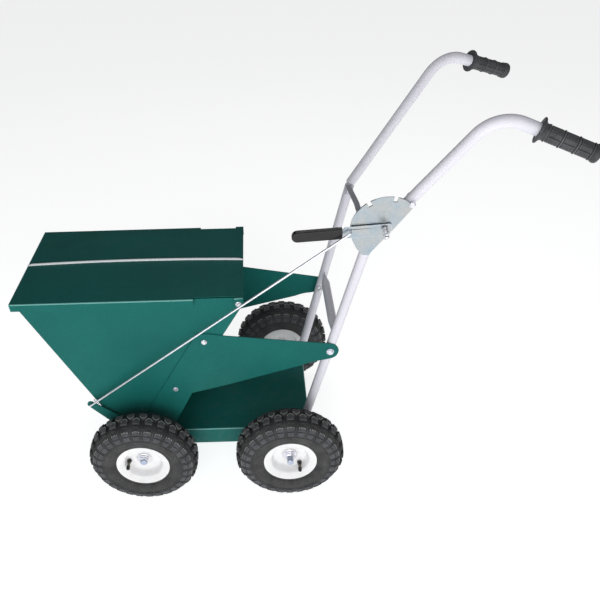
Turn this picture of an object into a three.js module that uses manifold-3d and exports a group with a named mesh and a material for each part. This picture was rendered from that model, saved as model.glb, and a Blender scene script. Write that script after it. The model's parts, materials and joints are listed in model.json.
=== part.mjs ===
// Four-wheel drop spreader: a sheet-steel hopper with a drop slot, carried on a tray deck with
// pneumatic wheels, pushed by two bent tubes. A hand lever opens a rotary shut-off gate by a long rod.
// Millimetres, +Z up, +X from the hopper to the handle, +Y to the operator's right side.
// Dimensions are taken from a datum 130 mm under the front axle's centre line; the whole machine is
// then moved so that its tyres stand on Z = 0 and its origin is the middle of its footprint.
import * as THREE from 'three';
import { mergeVertices } from 'three/addons/utils/BufferGeometryUtils.js';
import Module from 'manifold-3d';

const wasm = await Module();
wasm.setup();

// ---- driving dimensions (mm, degrees where named) ----
const GAP = 0.3; // clearance between neighbouring pieces
const FAR = 200; // reach of a cutting tool that has to clear the whole piece
const SMALL_BOLT_R = 3;
const LARGE_BOLT_R = 4;
const SIDES = [['left', -1], ['right', 1]];

// wheels and axles
const AXLE_Z = 130; // height of both axles over the datum
const TYRE_R = 134.5; // over the tread
const WHEELBASE = 364.3;
const HALF_TRACK = 230;
const AXLE_R = 8;
const FRONT_AXLE_HALF = 254;
const REAR_AXLE_HALF = 267;
const HUB_OUTBOARD = 8; // hub tube end outboard of the wheel's centre plane
const HUB_INBOARD = 34;
const HUB_R = 14;
const BUSH_R = 9.5;
const WASHER_R = 18;
const AXLE_NUT_R = 11.5; // over its corners
const VALVE_R = 39; // radius at which the valve stem stands in the wheel disc
const VALVE_ANGLE_FRONT = 189; // degrees from +X towards +Z about the axle
const VALVE_ANGLE_REAR = 309;

// hopper, an asymmetric trough of 1.5 mm sheet
const SHEET = 1.5;
const HOPPER_HALF = 153.8;
const RIM_Z = 543.3;
const RIM_FRONT_X = -235;
const RIM_REAR_X = 259.5;
const REAR_KINK_Z = 519; // the rear wall turns vertical above this height
const THROAT_Z = 150;
const THROAT_FRONT_X = -66;
const THROAT_REAR_X = 39;
const TROUGH_R = 25.5; // outer radius of the trough bottom, about the front axle
const SLOT_HALF_LENGTH = 50;
const SLOT_HALF_WIDTH = 7;

// lid
const LID_FRONT_X = -240.7;
const LID_REAR_X = 263.9;
const LID_HALF = 164.3;
const LID_TOP_Z = 547.6;
const LID_SHEET = 1.2;
const LID_FLANGE = 17.5;
const LID_CROWN = 5;
const RELIEF_FROM_X = 156; // the side flange and its fold are cut away from here to the hinge ear
const RELIEF_TO_X = 244.5;
const LID_EAR = 23; // depth of the hinge ears
const GUIDE_WIDTH = 9;
const GUIDE_THICK = 0.8;
const LID_PIVOT = { x: 253, z: 533.6 };
const RELIEF_HALF = 155; // half width left of the lid's top between the reliefs

// deck tray
const DECK_TOP_Z = 149.1;
const DECK_DEPTH = 50;
const DECK_SHEET = 2;
const DECK_HALF = 160;
const DECK_FRONT_X = -75;
const DECK_REAR_X = 420.4;

// side plates, flat on the hopper and toed in to the handle tubes
const PLATE_SHEET = 2;
const PLATE_OUTER_Y = 156.1;
const PLATE_BEND_X = 222;
const PLATE_OUTER_Y_AT_BOLT = 146.3;
const PLATE_TIP_R = 22;
const PLATE_BOLTS = { upper: [170, 427], lower: [89.3, 286.4] };

// handle: a straight lower tube and a bent upper tube on each side
const TUBE_R = 11.1;
const TUBE_WALL = 1.5;
const TUBE_SIDES = 10;
const JOINT = new THREE.Vector3(523.9, 143, 663.6);
const HANDLE_BOLT = new THREE.Vector3(461.3, 132, 381.4);
const FOOT_Z = DECK_TOP_Z + GAP;
const TOP_CORNER = new THREE.Vector3(711.2, 192.84, 924.6); // where the two straight runs would meet
const GRIP_END = new THREE.Vector3(877.6, 250.1, 870.2);
const TOP_BEND_R = 68;
const GRIP_LENGTH = 110;
const SPIGOT_LENGTH = 40; // reduced end of the upper tube inside the lower one
const FOOT_SHEET = 3; // flattened foot of the lower tube, bolted to the deck
const FOOT_REACH = 36;
const FOOT_BOLT_AHEAD = 24;
const LOWER_BRACE_Z = 424;
const LOWER_BRACE_R = 10.5;
const BLADE_FROM = -26; // flattened ends of the lower brace, from its middle line
const BLADE_TO = 9;
const BRACE_CLEARANCE = 1.4; // from the brace ends to the sides of the tubes
const BRACE_SETBACK = 5; // middle of the upper brace's ends ahead of the joint bolts
const BRACE_BOW = 8;
const BRACE_TOP = 14; // above the joint bolts
const BRACE_SHEET = 3.5;
const JOINT_BOLT_DROP = 14; // the joint bolt sits this far below the joint along the lower tube

// quadrant plate and shut-off lever, on a plane that leans outwards with the left upper tube.
// In that plane x runs along X and w runs up the slope from the joint's height.
const PLATE_FACE = 15.4; // inner face of the quadrant plate from the upper tube's axis
const QUADRANT_SHEET = 3;
const QUADRANT_R = 67.5;
const QUADRANT_NOTCHES = [124, 78]; // degrees from +X up the slope, about the pivot
const PIVOT = { x: 547, w: 49.5 };
const LEVER_MID = 22; // middle of the lever bar from the upper tube's axis
const LEVER_SHEET = 3;
const LEVER_SLOPE = 0.0617;
const LEVER_CENTRE_DROP = 4.7;
const LEVER_NECK = 77.5; // from the pivot to where the bar narrows into its tang
const LEVER_REACH = 165.5; // from the pivot to the tang's end
const TANG_HALF = 8;
const SLEEVE_LENGTH = 100;
const SLEEVE_WIDTH = 23;
const SLEEVE_THICK = 11;
const STUD_R = 4;
const STUD_NUT_R = 6.5;
const SPRING_R = 6.2;
const STUD_TIP = 54;
const STUD_NUT = 10; // from the stud's tip to the inner face of its nut
const ROD_R = 2.5;
const ROD_MID = 31; // rod axis from the upper tube's axis at the lever
const ROD_HOLE = { x: PIVOT.x - 66.5, w: PIVOT.w - 4.1 };
const ROD_END = new THREE.Vector3(-122, -170, 252.5);
const CLIP_R = 1.1;

// rotary gate under the trough, with its arm outside the deck
const GATE_R = 28.3;
const GATE_SHEET = 2;
const GATE_FROM = -130; // degrees, arc of the gate below the axle, measured from +X towards +Z
const GATE_TO = -70.6;
const GATE_END_Y = 157.2;
const SLEEVE_R = 11;
const SLEEVE_BORE = 8.5;
const ARM_OUTER_Y = -166;
const ARM_SHEET = 3;
const ARM_TIP_R = 9;
const ARM_HUB_R = 24;

// agitator on the front axle, and the pin that drives it from the left front wheel
const AGITATOR_HALF = 138;
const AGITATOR_R = 11;
const BLADE_ANGLES = [30, 150, 270];
const PIN_R = 2.5;
const PIN_HALF = 17;
const PIN_INBOARD = 20; // from the wheel's centre plane

// ---- materials ----
const steel = (color, roughness, metalness) => (
  new THREE.MeshStandardMaterial({ color, roughness, metalness })
);
const greenPaint = steel(0x1f6b66, 0.5, 0.1);
const silverPaint = steel(0xd5d6dc, 0.45, 0.3);
const greyPaint = steel(0x6b6c72, 0.55, 0.3);
const zinc = steel(0xb6bec4, 0.35, 0.9);
const whitePaint = steel(0xf4f4f2, 0.4, 0.0);
const rubber = steel(0x37393a, 0.9, 0.0);
const gripRubber = steel(0x2b2c2d, 0.8, 0.0);

// ---- solids ----
function solidOf(geometry) {
  const bare = geometry.clone();
  bare.deleteAttribute('normal');
  bare.deleteAttribute('uv');
  const merged = mergeVertices(bare, 1e-4);
  return new wasm.Manifold(new wasm.Mesh({
    numProp: 3,
    vertProperties: new Float32Array(merged.attributes.position.array),
    triVerts: new Uint32Array(merged.index.array),
  }));
}

function geometryOf(solid) {
  const mesh = solid.getMesh();
  const geometry = new THREE.BufferGeometry();
  geometry.setAttribute('position', new THREE.BufferAttribute(mesh.vertProperties, 3));
  geometry.setIndex(new THREE.BufferAttribute(mesh.triVerts, 1));
  geometry.computeVertexNormals();
  return geometry;
}

const join = (...solids) => solids.reduce((all, solid) => all.add(solid));

function block(x0, x1, y0, y1, z0, z1) {
  const geometry = new THREE.BoxGeometry(x1 - x0, y1 - y0, z1 - z0);
  return solidOf(geometry.translate((x0 + x1) / 2, (y0 + y1) / 2, (z0 + z1) / 2));
}

// turns local +Z onto a direction and moves the origin to a point
function placed(geometry, origin, direction) {
  const way = direction.clone().normalize();
  const turn = new THREE.Quaternion().setFromUnitVectors(new THREE.Vector3(0, 0, 1), way);
  return geometry.applyQuaternion(turn).translate(origin.x, origin.y, origin.z);
}

function bar(from, to, radius, sides = 12) {
  const along = to.clone().sub(from);
  const geometry = new THREE.CylinderGeometry(radius, radius, along.length(), sides);
  geometry.rotateX(Math.PI / 2).translate(0, 0, along.length() / 2);
  return solidOf(placed(geometry, from, along));
}

const barAlongY = (x, z, y0, y1, radius, sides) =>
  bar(new THREE.Vector3(x, y0, z), new THREE.Vector3(x, y1, z), radius, sides);

// cutting tool for a bolt hole right across the machine
const boltHoleAlongY = (x, z, boltR) => barAlongY(x, z, -FAR, FAR, boltR + GAP, 12);

// an outline in the XZ plane, given thickness from y0 to y1
function prismXZ(points, y0, y1) {
  const shape = new THREE.Shape(points);
  const geometry = new THREE.ExtrudeGeometry(shape, { depth: y1 - y0, bevelEnabled: false });
  return solidOf(geometry.rotateX(Math.PI / 2).translate(0, y1, 0));
}

// an outline in the XY plane, given thickness from z0 to z1
function prismXY(points, z0, z1) {
  const shape = new THREE.Shape(points);
  const geometry = new THREE.ExtrudeGeometry(shape, { depth: z1 - z0, bevelEnabled: false });
  return solidOf(geometry.translate(0, 0, z0));
}

// a closed [radius, y] profile turned about the Y axis
function turned(profile, segments) {
  const points = profile.map(([r, y]) => new THREE.Vector2(r, y));
  return solidOf(new THREE.LatheGeometry([...points, points[0]], segments));
}

const arc = (cx, cy, radius, from, to, steps) => {
  const points = [];
  for (let i = 0; i <= steps; i += 1) {
    const angle = THREE.MathUtils.degToRad(from + ((to - from) * i) / steps);
    points.push(new THREE.Vector2(cx + radius * Math.cos(angle), cy + radius * Math.sin(angle)));
  }
  return points;
};

// moves every edge of a closed counter-clockwise outline inwards
function inset(points, distance) {
  const count = points.length;
  const edge = (i) => {
    const a = points[i % count];
    const along = points[(i + 1) % count].clone().sub(a).normalize();
    const inward = new THREE.Vector2(-along.y, along.x).multiplyScalar(distance);
    return { start: a.clone().add(inward), along };
  };
  return points.map((_, i) => {
    const before = edge(i + count - 1);
    const after = edge(i);
    const cross = before.along.cross(after.along);
    const reach = after.start.clone().sub(before.start).cross(after.along) / cross;
    return before.start.clone().addScaledVector(before.along, reach);
  });
}

// a hexagon-headed bolt along a direction: under-head point, grip length, nut at the far end
function boltSolid(underHead, direction, grip, radius, withHead = true) {
  const way = direction.clone().normalize();
  const at = (distance) => underHead.clone().addScaledVector(way, distance);
  const headR = radius * 1.85;
  const headHeight = radius * 1.3;
  const shank = bar(at(withHead ? -headHeight / 2 : 0), at(grip + headHeight * 1.5), radius, 8);
  const nut = bar(at(grip), at(grip + headHeight), headR, 6);
  return withHead ? join(shank, nut, bar(at(-headHeight), at(0), headR, 6)) : join(shank, nut);
}

// stations along straight runs with one rounded corner, for an extruded tube
class BentPath extends THREE.Curve {
  constructor(start, corner, end, radius, cornerSteps) {
    super();
    const into = corner.clone().sub(start).normalize();
    const out = end.clone().sub(corner).normalize();
    const turn = into.angleTo(out);
    const reach = radius * Math.tan(turn / 2);
    const inwards = out.clone().addScaledVector(into, -Math.cos(turn)).normalize();
    const first = corner.clone().addScaledVector(into, -reach);
    this.stations = [{ point: start, tangent: into }];
    for (let i = 0; i <= cornerSteps; i += 1) {
      const angle = (turn * i) / cornerSteps;
      const point = first.clone().addScaledVector(into, radius * Math.sin(angle));
      point.addScaledVector(inwards, radius * (1 - Math.cos(angle)));
      const tangent = into.clone().multiplyScalar(Math.cos(angle)).addScaledVector(inwards, Math.sin(angle));
      this.stations.push({ point, tangent });
    }
    this.stations.push({ point: end, tangent: out });
    this.steps = this.stations.length - 1;
  }

  station(t) {
    return this.stations[Math.round(t * this.steps)];
  }

  getPointAt(t) {
    return this.station(t).point.clone();
  }

  getTangentAt(t) {
    return this.station(t).tangent.clone();
  }
}

function tubeAlong(path, steps, outer, wall) {
  const shape = new THREE.Shape(arc(0, 0, outer, 0, 360 - 360 / TUBE_SIDES, TUBE_SIDES - 1));
  if (wall) {
    shape.holes.push(new THREE.Path(arc(0, 0, outer - wall, 360 - 360 / TUBE_SIDES, 0, TUBE_SIDES - 1)));
  }
  return solidOf(new THREE.ExtrudeGeometry(shape, { steps, extrudePath: path, bevelEnabled: false }));
}

const straightTube = (from, to, outer, wall) => tubeAlong(new THREE.LineCurve3(from, to), 1, outer, wall);
const onSide = (point, side) => new THREE.Vector3(point.x, point.y * side, point.z);

// ---- the assembly ----
const machine = new THREE.Group();

function piece(name, solid, material, parent = machine) {
  const geometry = solid.isBufferGeometry ? solid : geometryOf(solid);
  const mesh = new THREE.Mesh(geometry, material);
  mesh.name = name;
  parent.add(mesh);
  return mesh;
}

// ---- hopper ----
function hopperOutline(rimZ) {
  const rimShift = (rimZ - RIM_Z) * ((THROAT_FRONT_X - RIM_FRONT_X) / (RIM_Z - THROAT_Z));
  return [
    new THREE.Vector2(RIM_FRONT_X - rimShift, rimZ),
    new THREE.Vector2(THROAT_FRONT_X, THROAT_Z),
    ...arc(0, AXLE_Z, TROUGH_R, 180, 332.7, 9),
    new THREE.Vector2(THROAT_REAR_X, THROAT_Z),
    new THREE.Vector2(RIM_REAR_X, REAR_KINK_Z),
    new THREE.Vector2(RIM_REAR_X, rimZ),
  ];
}

function hopperShell() {
  const outside = prismXZ(hopperOutline(RIM_Z), -HOPPER_HALF, HOPPER_HALF);
  const aboveRim = RIM_Z + 20;
  const inside = prismXZ(inset(hopperOutline(aboveRim), SHEET), -HOPPER_HALF + SHEET, HOPPER_HALF - SHEET);
  let shell = outside.subtract(inside);
  shell = shell.subtract(block(
    -SLOT_HALF_WIDTH, SLOT_HALF_WIDTH, -SLOT_HALF_LENGTH, SLOT_HALF_LENGTH,
    AXLE_Z - TROUGH_R - SHEET, AXLE_Z - TROUGH_R + 4 * SHEET,
  ));
  shell = shell.subtract(barAlongY(0, AXLE_Z, -FAR, FAR, AXLE_R + 1, 20));
  shell = shell.subtract(boltHoleAlongY(LID_PIVOT.x, LID_PIVOT.z, SMALL_BOLT_R));
  for (const [x, z] of Object.values(PLATE_BOLTS)) {
    shell = shell.subtract(boltHoleAlongY(x, z, SMALL_BOLT_R));
  }
  return shell;
}

piece('hopper_shell', hopperShell(), greenPaint);

// ---- lid ----
const LID_LENGTH = LID_REAR_X - LID_FRONT_X;
const LID_MID_X = (LID_REAR_X + LID_FRONT_X) / 2;
const lidGroup = new THREE.Group();
lidGroup.position.set(LID_MID_X, 0, LID_TOP_Z);
machine.add(lidGroup);

// lifts the upper vertices of a flat panel into a shallow crown
function crowned(geometry, topZ) {
  const position = geometry.attributes.position;
  for (let i = 0; i < position.count; i += 1) {
    if (position.getZ(i) > topZ) {
      const along = (2 * position.getX(i)) / LID_LENGTH;
      const across = position.getY(i) / LID_HALF;
      position.setZ(i, position.getZ(i) + LID_CROWN * (1 - along * along) * (1 - across * across));
    }
  }
  return geometry;
}

function crownedPanel(length, half, bottomZ, topZ) {
  const geometry = new THREE.BoxGeometry(length, 2 * half, topZ - bottomZ, 10, 6, 1);
  return solidOf(crowned(geometry.translate(0, 0, (topZ + bottomZ) / 2), topZ - 0.01));
}

function lidSolid() {
  const outside = crownedPanel(LID_LENGTH, LID_HALF, -LID_FLANGE, 0);
  const inside = crownedPanel(LID_LENGTH, LID_HALF - LID_SHEET, -LID_FLANGE - 5, -LID_SHEET);
  const inner = solidOf(geometryOf(inside).translate(LID_SHEET, 0, 0));
  let lid = outside.subtract(inner);
  lid = lid.subtract(block(
    RELIEF_FROM_X - LID_MID_X, RELIEF_TO_X - LID_MID_X, -LID_HALF - 1, LID_HALF + 1,
    -LID_FLANGE - 1, -LID_SHEET,
  ));
  const earFrom = RELIEF_TO_X - LID_MID_X;
  const earTo = LID_REAR_X - LID_MID_X;
  for (const [, side] of SIDES) {
    const y0 = side < 0 ? -LID_HALF : LID_HALF - LID_SHEET;
    lid = lid.add(block(earFrom, earTo, y0, y0 + LID_SHEET, -LID_EAR, -LID_SHEET / 2));
    const cutFrom = side < 0 ? -FAR : RELIEF_HALF;
    lid = lid.subtract(block(
      RELIEF_FROM_X - LID_MID_X, earFrom, cutFrom, cutFrom + FAR - RELIEF_HALF, -LID_FLANGE, LID_CROWN,
    ));
  }
  const pivotX = LID_PIVOT.x - LID_MID_X;
  const pivotZ = LID_PIVOT.z - LID_TOP_Z;
  return lid.subtract(boltHoleAlongY(pivotX, pivotZ, SMALL_BOLT_R + GAP / 2));
}

function guideLine() {
  const geometry = new THREE.BoxGeometry(LID_LENGTH - 1, GUIDE_WIDTH, GUIDE_THICK, 10, 1, 1);
  return solidOf(crowned(geometry.translate(0, 0, GUIDE_THICK / 2 + GAP), 0));
}

piece('lid', lidSolid(), greenPaint, lidGroup);
piece('lid_guide_line', guideLine(), whitePaint, lidGroup);

for (const [name, side] of SIDES) {
  const underHead = new THREE.Vector3(LID_PIVOT.x, side * (LID_HALF + GAP), LID_PIVOT.z);
  const grip = LID_HALF + GAP - (HOPPER_HALF - SHEET - GAP);
  const bolt = boltSolid(underHead, new THREE.Vector3(0, -side, 0), grip, SMALL_BOLT_R);
  piece(`lid_hinge_bolt_${name}`, bolt, zinc);
}

// ---- handle ----
const lowerWay = JOINT.clone().sub(HANDLE_BOLT).normalize(); // up the lower tube, right side
const upperWay = TOP_CORNER.clone().sub(JOINT).normalize();
const gripWay = GRIP_END.clone().sub(TOP_CORNER).normalize();
const foot = JOINT.clone().addScaledVector(lowerWay, (FOOT_Z - JOINT.z) / lowerWay.z);
const footBoltX = foot.x - FOOT_BOLT_AHEAD;
const jointBolt = JOINT.clone().addScaledVector(lowerWay, -JOINT_BOLT_DROP);
const lean = Math.atan2(upperWay.y, upperWay.z); // outward lean of the upper tubes

// the plane of the left quadrant plate
const leanedPoint = (x, w, out) => new THREE.Vector3(
  x,
  -JOINT.y - w * Math.sin(lean) - out * Math.cos(lean),
  JOINT.z + w * Math.cos(lean) - out * Math.sin(lean),
);
const QUADRANT_BOLT = { w: 98.3 };
QUADRANT_BOLT.x = JOINT.x + (QUADRANT_BOLT.w * Math.cos(lean) * upperWay.x) / upperWay.z;

function handleLower(side) {
  const top = JOINT.clone().addScaledVector(lowerWay, -5);
  const below = foot.clone().addScaledVector(lowerWay, -8);
  let tube = straightTube(onSide(below, side), onSide(top, side), TUBE_R, TUBE_WALL);
  tube = tube.subtract(block(foot.x - FAR, foot.x + FAR, -FAR, FAR, 0, FOOT_Z));
  const y = side * foot.y;
  const footEndX = DECK_REAR_X - 1;
  tube = tube.add(block(foot.x - FOOT_REACH, footEndX, y - TUBE_R, y + TUBE_R, FOOT_Z, FOOT_Z + FOOT_SHEET));
  const footHole = new THREE.Vector3(footBoltX, y, FOOT_Z - 1);
  const footHoleTop = footHole.clone().setZ(FOOT_Z + FOOT_SHEET + 1);
  tube = tube.subtract(bar(footHole, footHoleTop, LARGE_BOLT_R + GAP, 12));
  tube = tube.subtract(boltHoleAlongY(HANDLE_BOLT.x, HANDLE_BOLT.z, LARGE_BOLT_R));
  return tube.subtract(boltHoleAlongY(jointBolt.x, jointBolt.z, SMALL_BOLT_R));
}

function handleUpper(side) {
  const end = GRIP_END.clone().addScaledVector(gripWay, -8);
  const path = new BentPath(onSide(JOINT, side), onSide(TOP_CORNER, side), onSide(end, side), TOP_BEND_R, 5);
  let tube = tubeAlong(path, path.steps, TUBE_R, TUBE_WALL);
  const spigotR = TUBE_R - TUBE_WALL - GAP;
  const bore = spigotR - TUBE_WALL;
  const shoulder = -4.5; // just clear of the lower tube's mouth
  const profile = [
    [bore, -SPIGOT_LENGTH], [spigotR, -SPIGOT_LENGTH], [spigotR, shoulder], [TUBE_R, shoulder],
    [TUBE_R, 4], [bore, 4],
  ];
  const points = [...profile, profile[0]].map(([r, y]) => new THREE.Vector2(r, y));
  const spigot = new THREE.LatheGeometry(points, TUBE_SIDES).rotateX(Math.PI / 2);
  tube = tube.add(solidOf(placed(spigot, onSide(JOINT, side), onSide(lowerWay, side))));
  tube = tube.subtract(boltHoleAlongY(jointBolt.x, jointBolt.z, SMALL_BOLT_R));
  if (side < 0) {
    const from = leanedPoint(QUADRANT_BOLT.x, QUADRANT_BOLT.w, -2 * TUBE_R);
    const to = leanedPoint(QUADRANT_BOLT.x, QUADRANT_BOLT.w, 2 * TUBE_R);
    tube = tube.subtract(bar(from, to, SMALL_BOLT_R + GAP, 12));
  }
  return tube;
}

function grip(side) {
  const bore = TUBE_R + GAP;
  const profile = [
    [bore, 0], [20.5, 0], [21.5, 1.5], [20.5, 3.5], [15.5, 7], [14, 13], [13.7, 94], [15.8, 101],
    [15.3, 107], [11.5, GRIP_LENGTH], [0, GRIP_LENGTH], [0, GRIP_LENGTH - 5], [bore, GRIP_LENGTH - 5],
  ];
  const points = [...profile, profile[0]].map(([r, y]) => new THREE.Vector2(r, y));
  const geometry = new THREE.LatheGeometry(points, 18).rotateX(Math.PI / 2);
  const start = GRIP_END.clone().addScaledVector(gripWay, -GRIP_LENGTH);
  return solidOf(placed(geometry, onSide(start, side), onSide(gripWay, side)));
}

// tube between the lower tubes, its flattened ends welded against their inner sides
function lowerBrace() {
  const centre = JOINT.clone().addScaledVector(lowerWay, (LOWER_BRACE_Z - JOINT.z) / lowerWay.z);
  const end = centre.y - TUBE_R - BRACE_CLEARANCE;
  const z = LOWER_BRACE_Z;
  const flare = 4; // thickness of the flattened end
  const neck = 14; // length drawn down to the flattened end
  let brace = barAlongY(centre.x, z, neck - end, end - neck, LOWER_BRACE_R, 14);
  for (const [, side] of SIDES) {
    const y0 = Math.min(side * end, side * (end - flare));
    brace = brace.add(block(centre.x - 6, centre.x + 6, y0, y0 + flare, z + BLADE_FROM, z + BLADE_TO));
    const neckFrom = side * (end - neck - 4);
    brace = brace.add(barAlongY(centre.x, z, neckFrom, side * (end - 1), LOWER_BRACE_R - 2.5, 10));
  }
  return brace.subtract(barAlongY(centre.x, z, -FAR, FAR, LOWER_BRACE_R / 2, 10));
}

// flat bar between the joints, bowed a little to the rear, with upright end tabs for the joint bolts
function upperBrace() {
  const { z } = jointBolt;
  const x = jointBolt.x - BRACE_SETBACK;
  const top = z + BRACE_TOP;
  const end = jointBolt.y - TUBE_R - BRACE_CLEARANCE;
  const half = 6; // half the bar's width
  const bend = 35; // where the bar turns from the splayed ends to its straight middle
  const near = x + BRACE_BOW;
  const outline = [
    [x - half, -end], [x + half, -end], [near + half, -bend], [near + half, bend],
    [x + half, end], [x - half, end], [near - half, bend], [near - half, -bend],
  ].map(([px, py]) => new THREE.Vector2(px, py));
  let brace = prismXY(outline, top - BRACE_SHEET, top);
  for (const [, side] of SIDES) {
    const y0 = Math.min(side * end, side * (end - BRACE_SHEET));
    brace = brace.add(block(x - half, x + 2 * half, y0, y0 + BRACE_SHEET, z - 7, top));
  }
  return brace.subtract(boltHoleAlongY(jointBolt.x, z, SMALL_BOLT_R));
}

// ---- deck tray ----
function deck() {
  const bottom = DECK_TOP_Z - DECK_DEPTH;
  const underside = DECK_TOP_Z - DECK_SHEET;
  const insideHalf = DECK_HALF - DECK_SHEET;
  let tray = block(DECK_FRONT_X, DECK_REAR_X, -DECK_HALF, DECK_HALF, bottom, DECK_TOP_Z);
  tray = tray.subtract(block(
    DECK_FRONT_X + DECK_SHEET, DECK_REAR_X - DECK_SHEET, -insideHalf, insideHalf, bottom - 1, underside,
  ));
  const openingHalf = HOPPER_HALF + GAP;
  tray = tray.subtract(block(
    THROAT_FRONT_X - 3, THROAT_REAR_X + 3, -openingHalf, openingHalf, underside - 1, DECK_TOP_Z + 1,
  ));
  tray = tray.subtract(barAlongY(0, AXLE_Z, -FAR, FAR, SLEEVE_R + GAP, 20));
  tray = tray.subtract(barAlongY(WHEELBASE, AXLE_Z, -FAR, FAR, AXLE_R + GAP, 20));
  for (const [, side] of SIDES) {
    const hole = new THREE.Vector3(footBoltX, side * foot.y, underside - 1);
    tray = tray.subtract(bar(hole, hole.clone().setZ(DECK_TOP_Z + 1), LARGE_BOLT_R + GAP, 12));
  }
  return tray;
}

piece('deck', deck(), greenPaint);

for (const [name, side] of SIDES) {
  const inwards = new THREE.Vector3(0, -side, 0);
  piece(`handle_lower_${name}`, handleLower(side), silverPaint);
  piece(`handle_upper_${name}`, handleUpper(side), silverPaint);
  piece(`grip_${name}`, grip(side), gripRubber);

  const footHead = new THREE.Vector3(footBoltX, side * foot.y, FOOT_Z + FOOT_SHEET + GAP);
  const footGrip = FOOT_SHEET + DECK_SHEET + 3 * GAP;
  piece(`foot_bolt_${name}`, boltSolid(footHead, new THREE.Vector3(0, 0, -1), footGrip, LARGE_BOLT_R), zinc);

  const plateFace = PLATE_OUTER_Y_AT_BOLT + 2 * GAP;
  const handleHead = new THREE.Vector3(HANDLE_BOLT.x, side * plateFace, HANDLE_BOLT.z);
  const handleGrip = plateFace - (HANDLE_BOLT.y - TUBE_R) + 4 * GAP;
  piece(`handle_bolt_${name}`, boltSolid(handleHead, inwards, handleGrip, LARGE_BOLT_R), zinc);

  // the left one has no head: its end is flush under the quadrant plate
  const headed = side > 0;
  const jointFace = jointBolt.y + TUBE_R + (headed ? 2 * GAP : -2 * GAP);
  const jointHead = onSide(jointBolt.clone().setY(jointFace), side);
  const jointGrip = 2 * TUBE_R + BRACE_SHEET + 9 * GAP;
  piece(`joint_bolt_${name}`, boltSolid(jointHead, inwards, jointGrip, SMALL_BOLT_R, headed), zinc);
}
piece('lower_cross_brace', lowerBrace(), silverPaint);
piece('upper_cross_brace', upperBrace(), greyPaint);

// ---- side plates ----
function sidePlate(side) {
  const tip = arc(HANDLE_BOLT.x - 2, HANDLE_BOLT.z + 1, PLATE_TIP_R, -70, 80, 8);
  const outline = [
    [-29, FOOT_Z], [65, FOOT_Z], [128, 272], [399, 346], [411, 351], [424, 354.5], [440, 356.5],
  ].map(([x, z]) => new THREE.Vector2(x, z));
  outline.push(...tip, new THREE.Vector2(181, 449), new THREE.Vector2(154, 450));
  const inner = PLATE_OUTER_Y - PLATE_SHEET;
  const flat = side < 0 ? prismXZ(outline, -PLATE_OUTER_Y, -inner) : prismXZ(outline, inner, PLATE_OUTER_Y);
  const front = flat.intersect(block(-FAR, PLATE_BEND_X, -FAR, FAR, 0, 3 * FAR));
  const rear = geometryOf(flat.intersect(block(PLATE_BEND_X - 0.05, 3 * FAR, -FAR, FAR, 0, 3 * FAR)));
  const toe = (PLATE_OUTER_Y - PLATE_OUTER_Y_AT_BOLT) / (HANDLE_BOLT.x - PLATE_BEND_X);
  const position = rear.attributes.position;
  for (let i = 0; i < position.count; i += 1) {
    const beyond = Math.max(0, position.getX(i) - PLATE_BEND_X);
    position.setY(i, position.getY(i) - side * toe * beyond);
  }
  let plate = front.add(solidOf(rear));
  plate = plate.subtract(boltHoleAlongY(HANDLE_BOLT.x, HANDLE_BOLT.z, LARGE_BOLT_R));
  for (const [x, z] of Object.values(PLATE_BOLTS)) {
    plate = plate.subtract(boltHoleAlongY(x, z, SMALL_BOLT_R));
  }
  return plate;
}

for (const [name, side] of SIDES) {
  piece(`side_plate_${name}`, sidePlate(side), greenPaint);
  for (const [height, [x, z]] of Object.entries(PLATE_BOLTS)) {
    const head = new THREE.Vector3(x, side * (PLATE_OUTER_Y + GAP), z);
    const grip = PLATE_OUTER_Y - HOPPER_HALF + SHEET + 2 * GAP;
    const bolt = boltSolid(head, new THREE.Vector3(0, -side, 0), grip, SMALL_BOLT_R);
    piece(`plate_bolt_${height}_${name}`, bolt, zinc);
  }
}

// ---- quadrant plate and lever, on the leaning plane ----
const leaning = new THREE.Group();
leaning.position.set(0, -JOINT.y, JOINT.z);
leaning.rotation.x = Math.PI / 2 + lean;
machine.add(leaning);

// radial notch in the quadrant's rim
function notch(angle) {
  const turn = THREE.MathUtils.degToRad(angle);
  const geometry = new THREE.BoxGeometry(16, 8, 30).translate(QUADRANT_R - 2, 0, 0);
  return solidOf(geometry.rotateZ(turn).translate(PIVOT.x, PIVOT.w, PLATE_FACE));
}

// a hole square through the leaning plane
const leaningHole = ({ x, w }, radius) => (
  bar(new THREE.Vector3(x, w, 0), new THREE.Vector3(x, w, STUD_TIP), radius, 12)
);

function quadrantPlate() {
  const rim = arc(PIVOT.x, PIVOT.w, QUADRANT_R, 70, 176, 14);
  const foreEdge = [[486.5, 19], [497, -2], [508, -17]];
  const rearEdge = [
    [515, -21], [525, -21], [530, -11], [552, 22], [565, 41], [597, 93], [596, 96], [577, 110],
  ];
  const outline = [...rim, ...[...foreEdge, ...rearEdge].map(([x, w]) => new THREE.Vector2(x, w))];
  let plate = prismXY(outline, PLATE_FACE, PLATE_FACE + QUADRANT_SHEET);
  for (const angle of QUADRANT_NOTCHES) {
    plate = plate.subtract(notch(angle));
  }
  return plate.subtract(leaningHole(QUADRANT_BOLT, SMALL_BOLT_R + GAP));
}

// height of the lever bar's middle line in the leaning plane
const leverCentre = (x) => PIVOT.w - LEVER_CENTRE_DROP + LEVER_SLOPE * (x - PIVOT.x);

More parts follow.
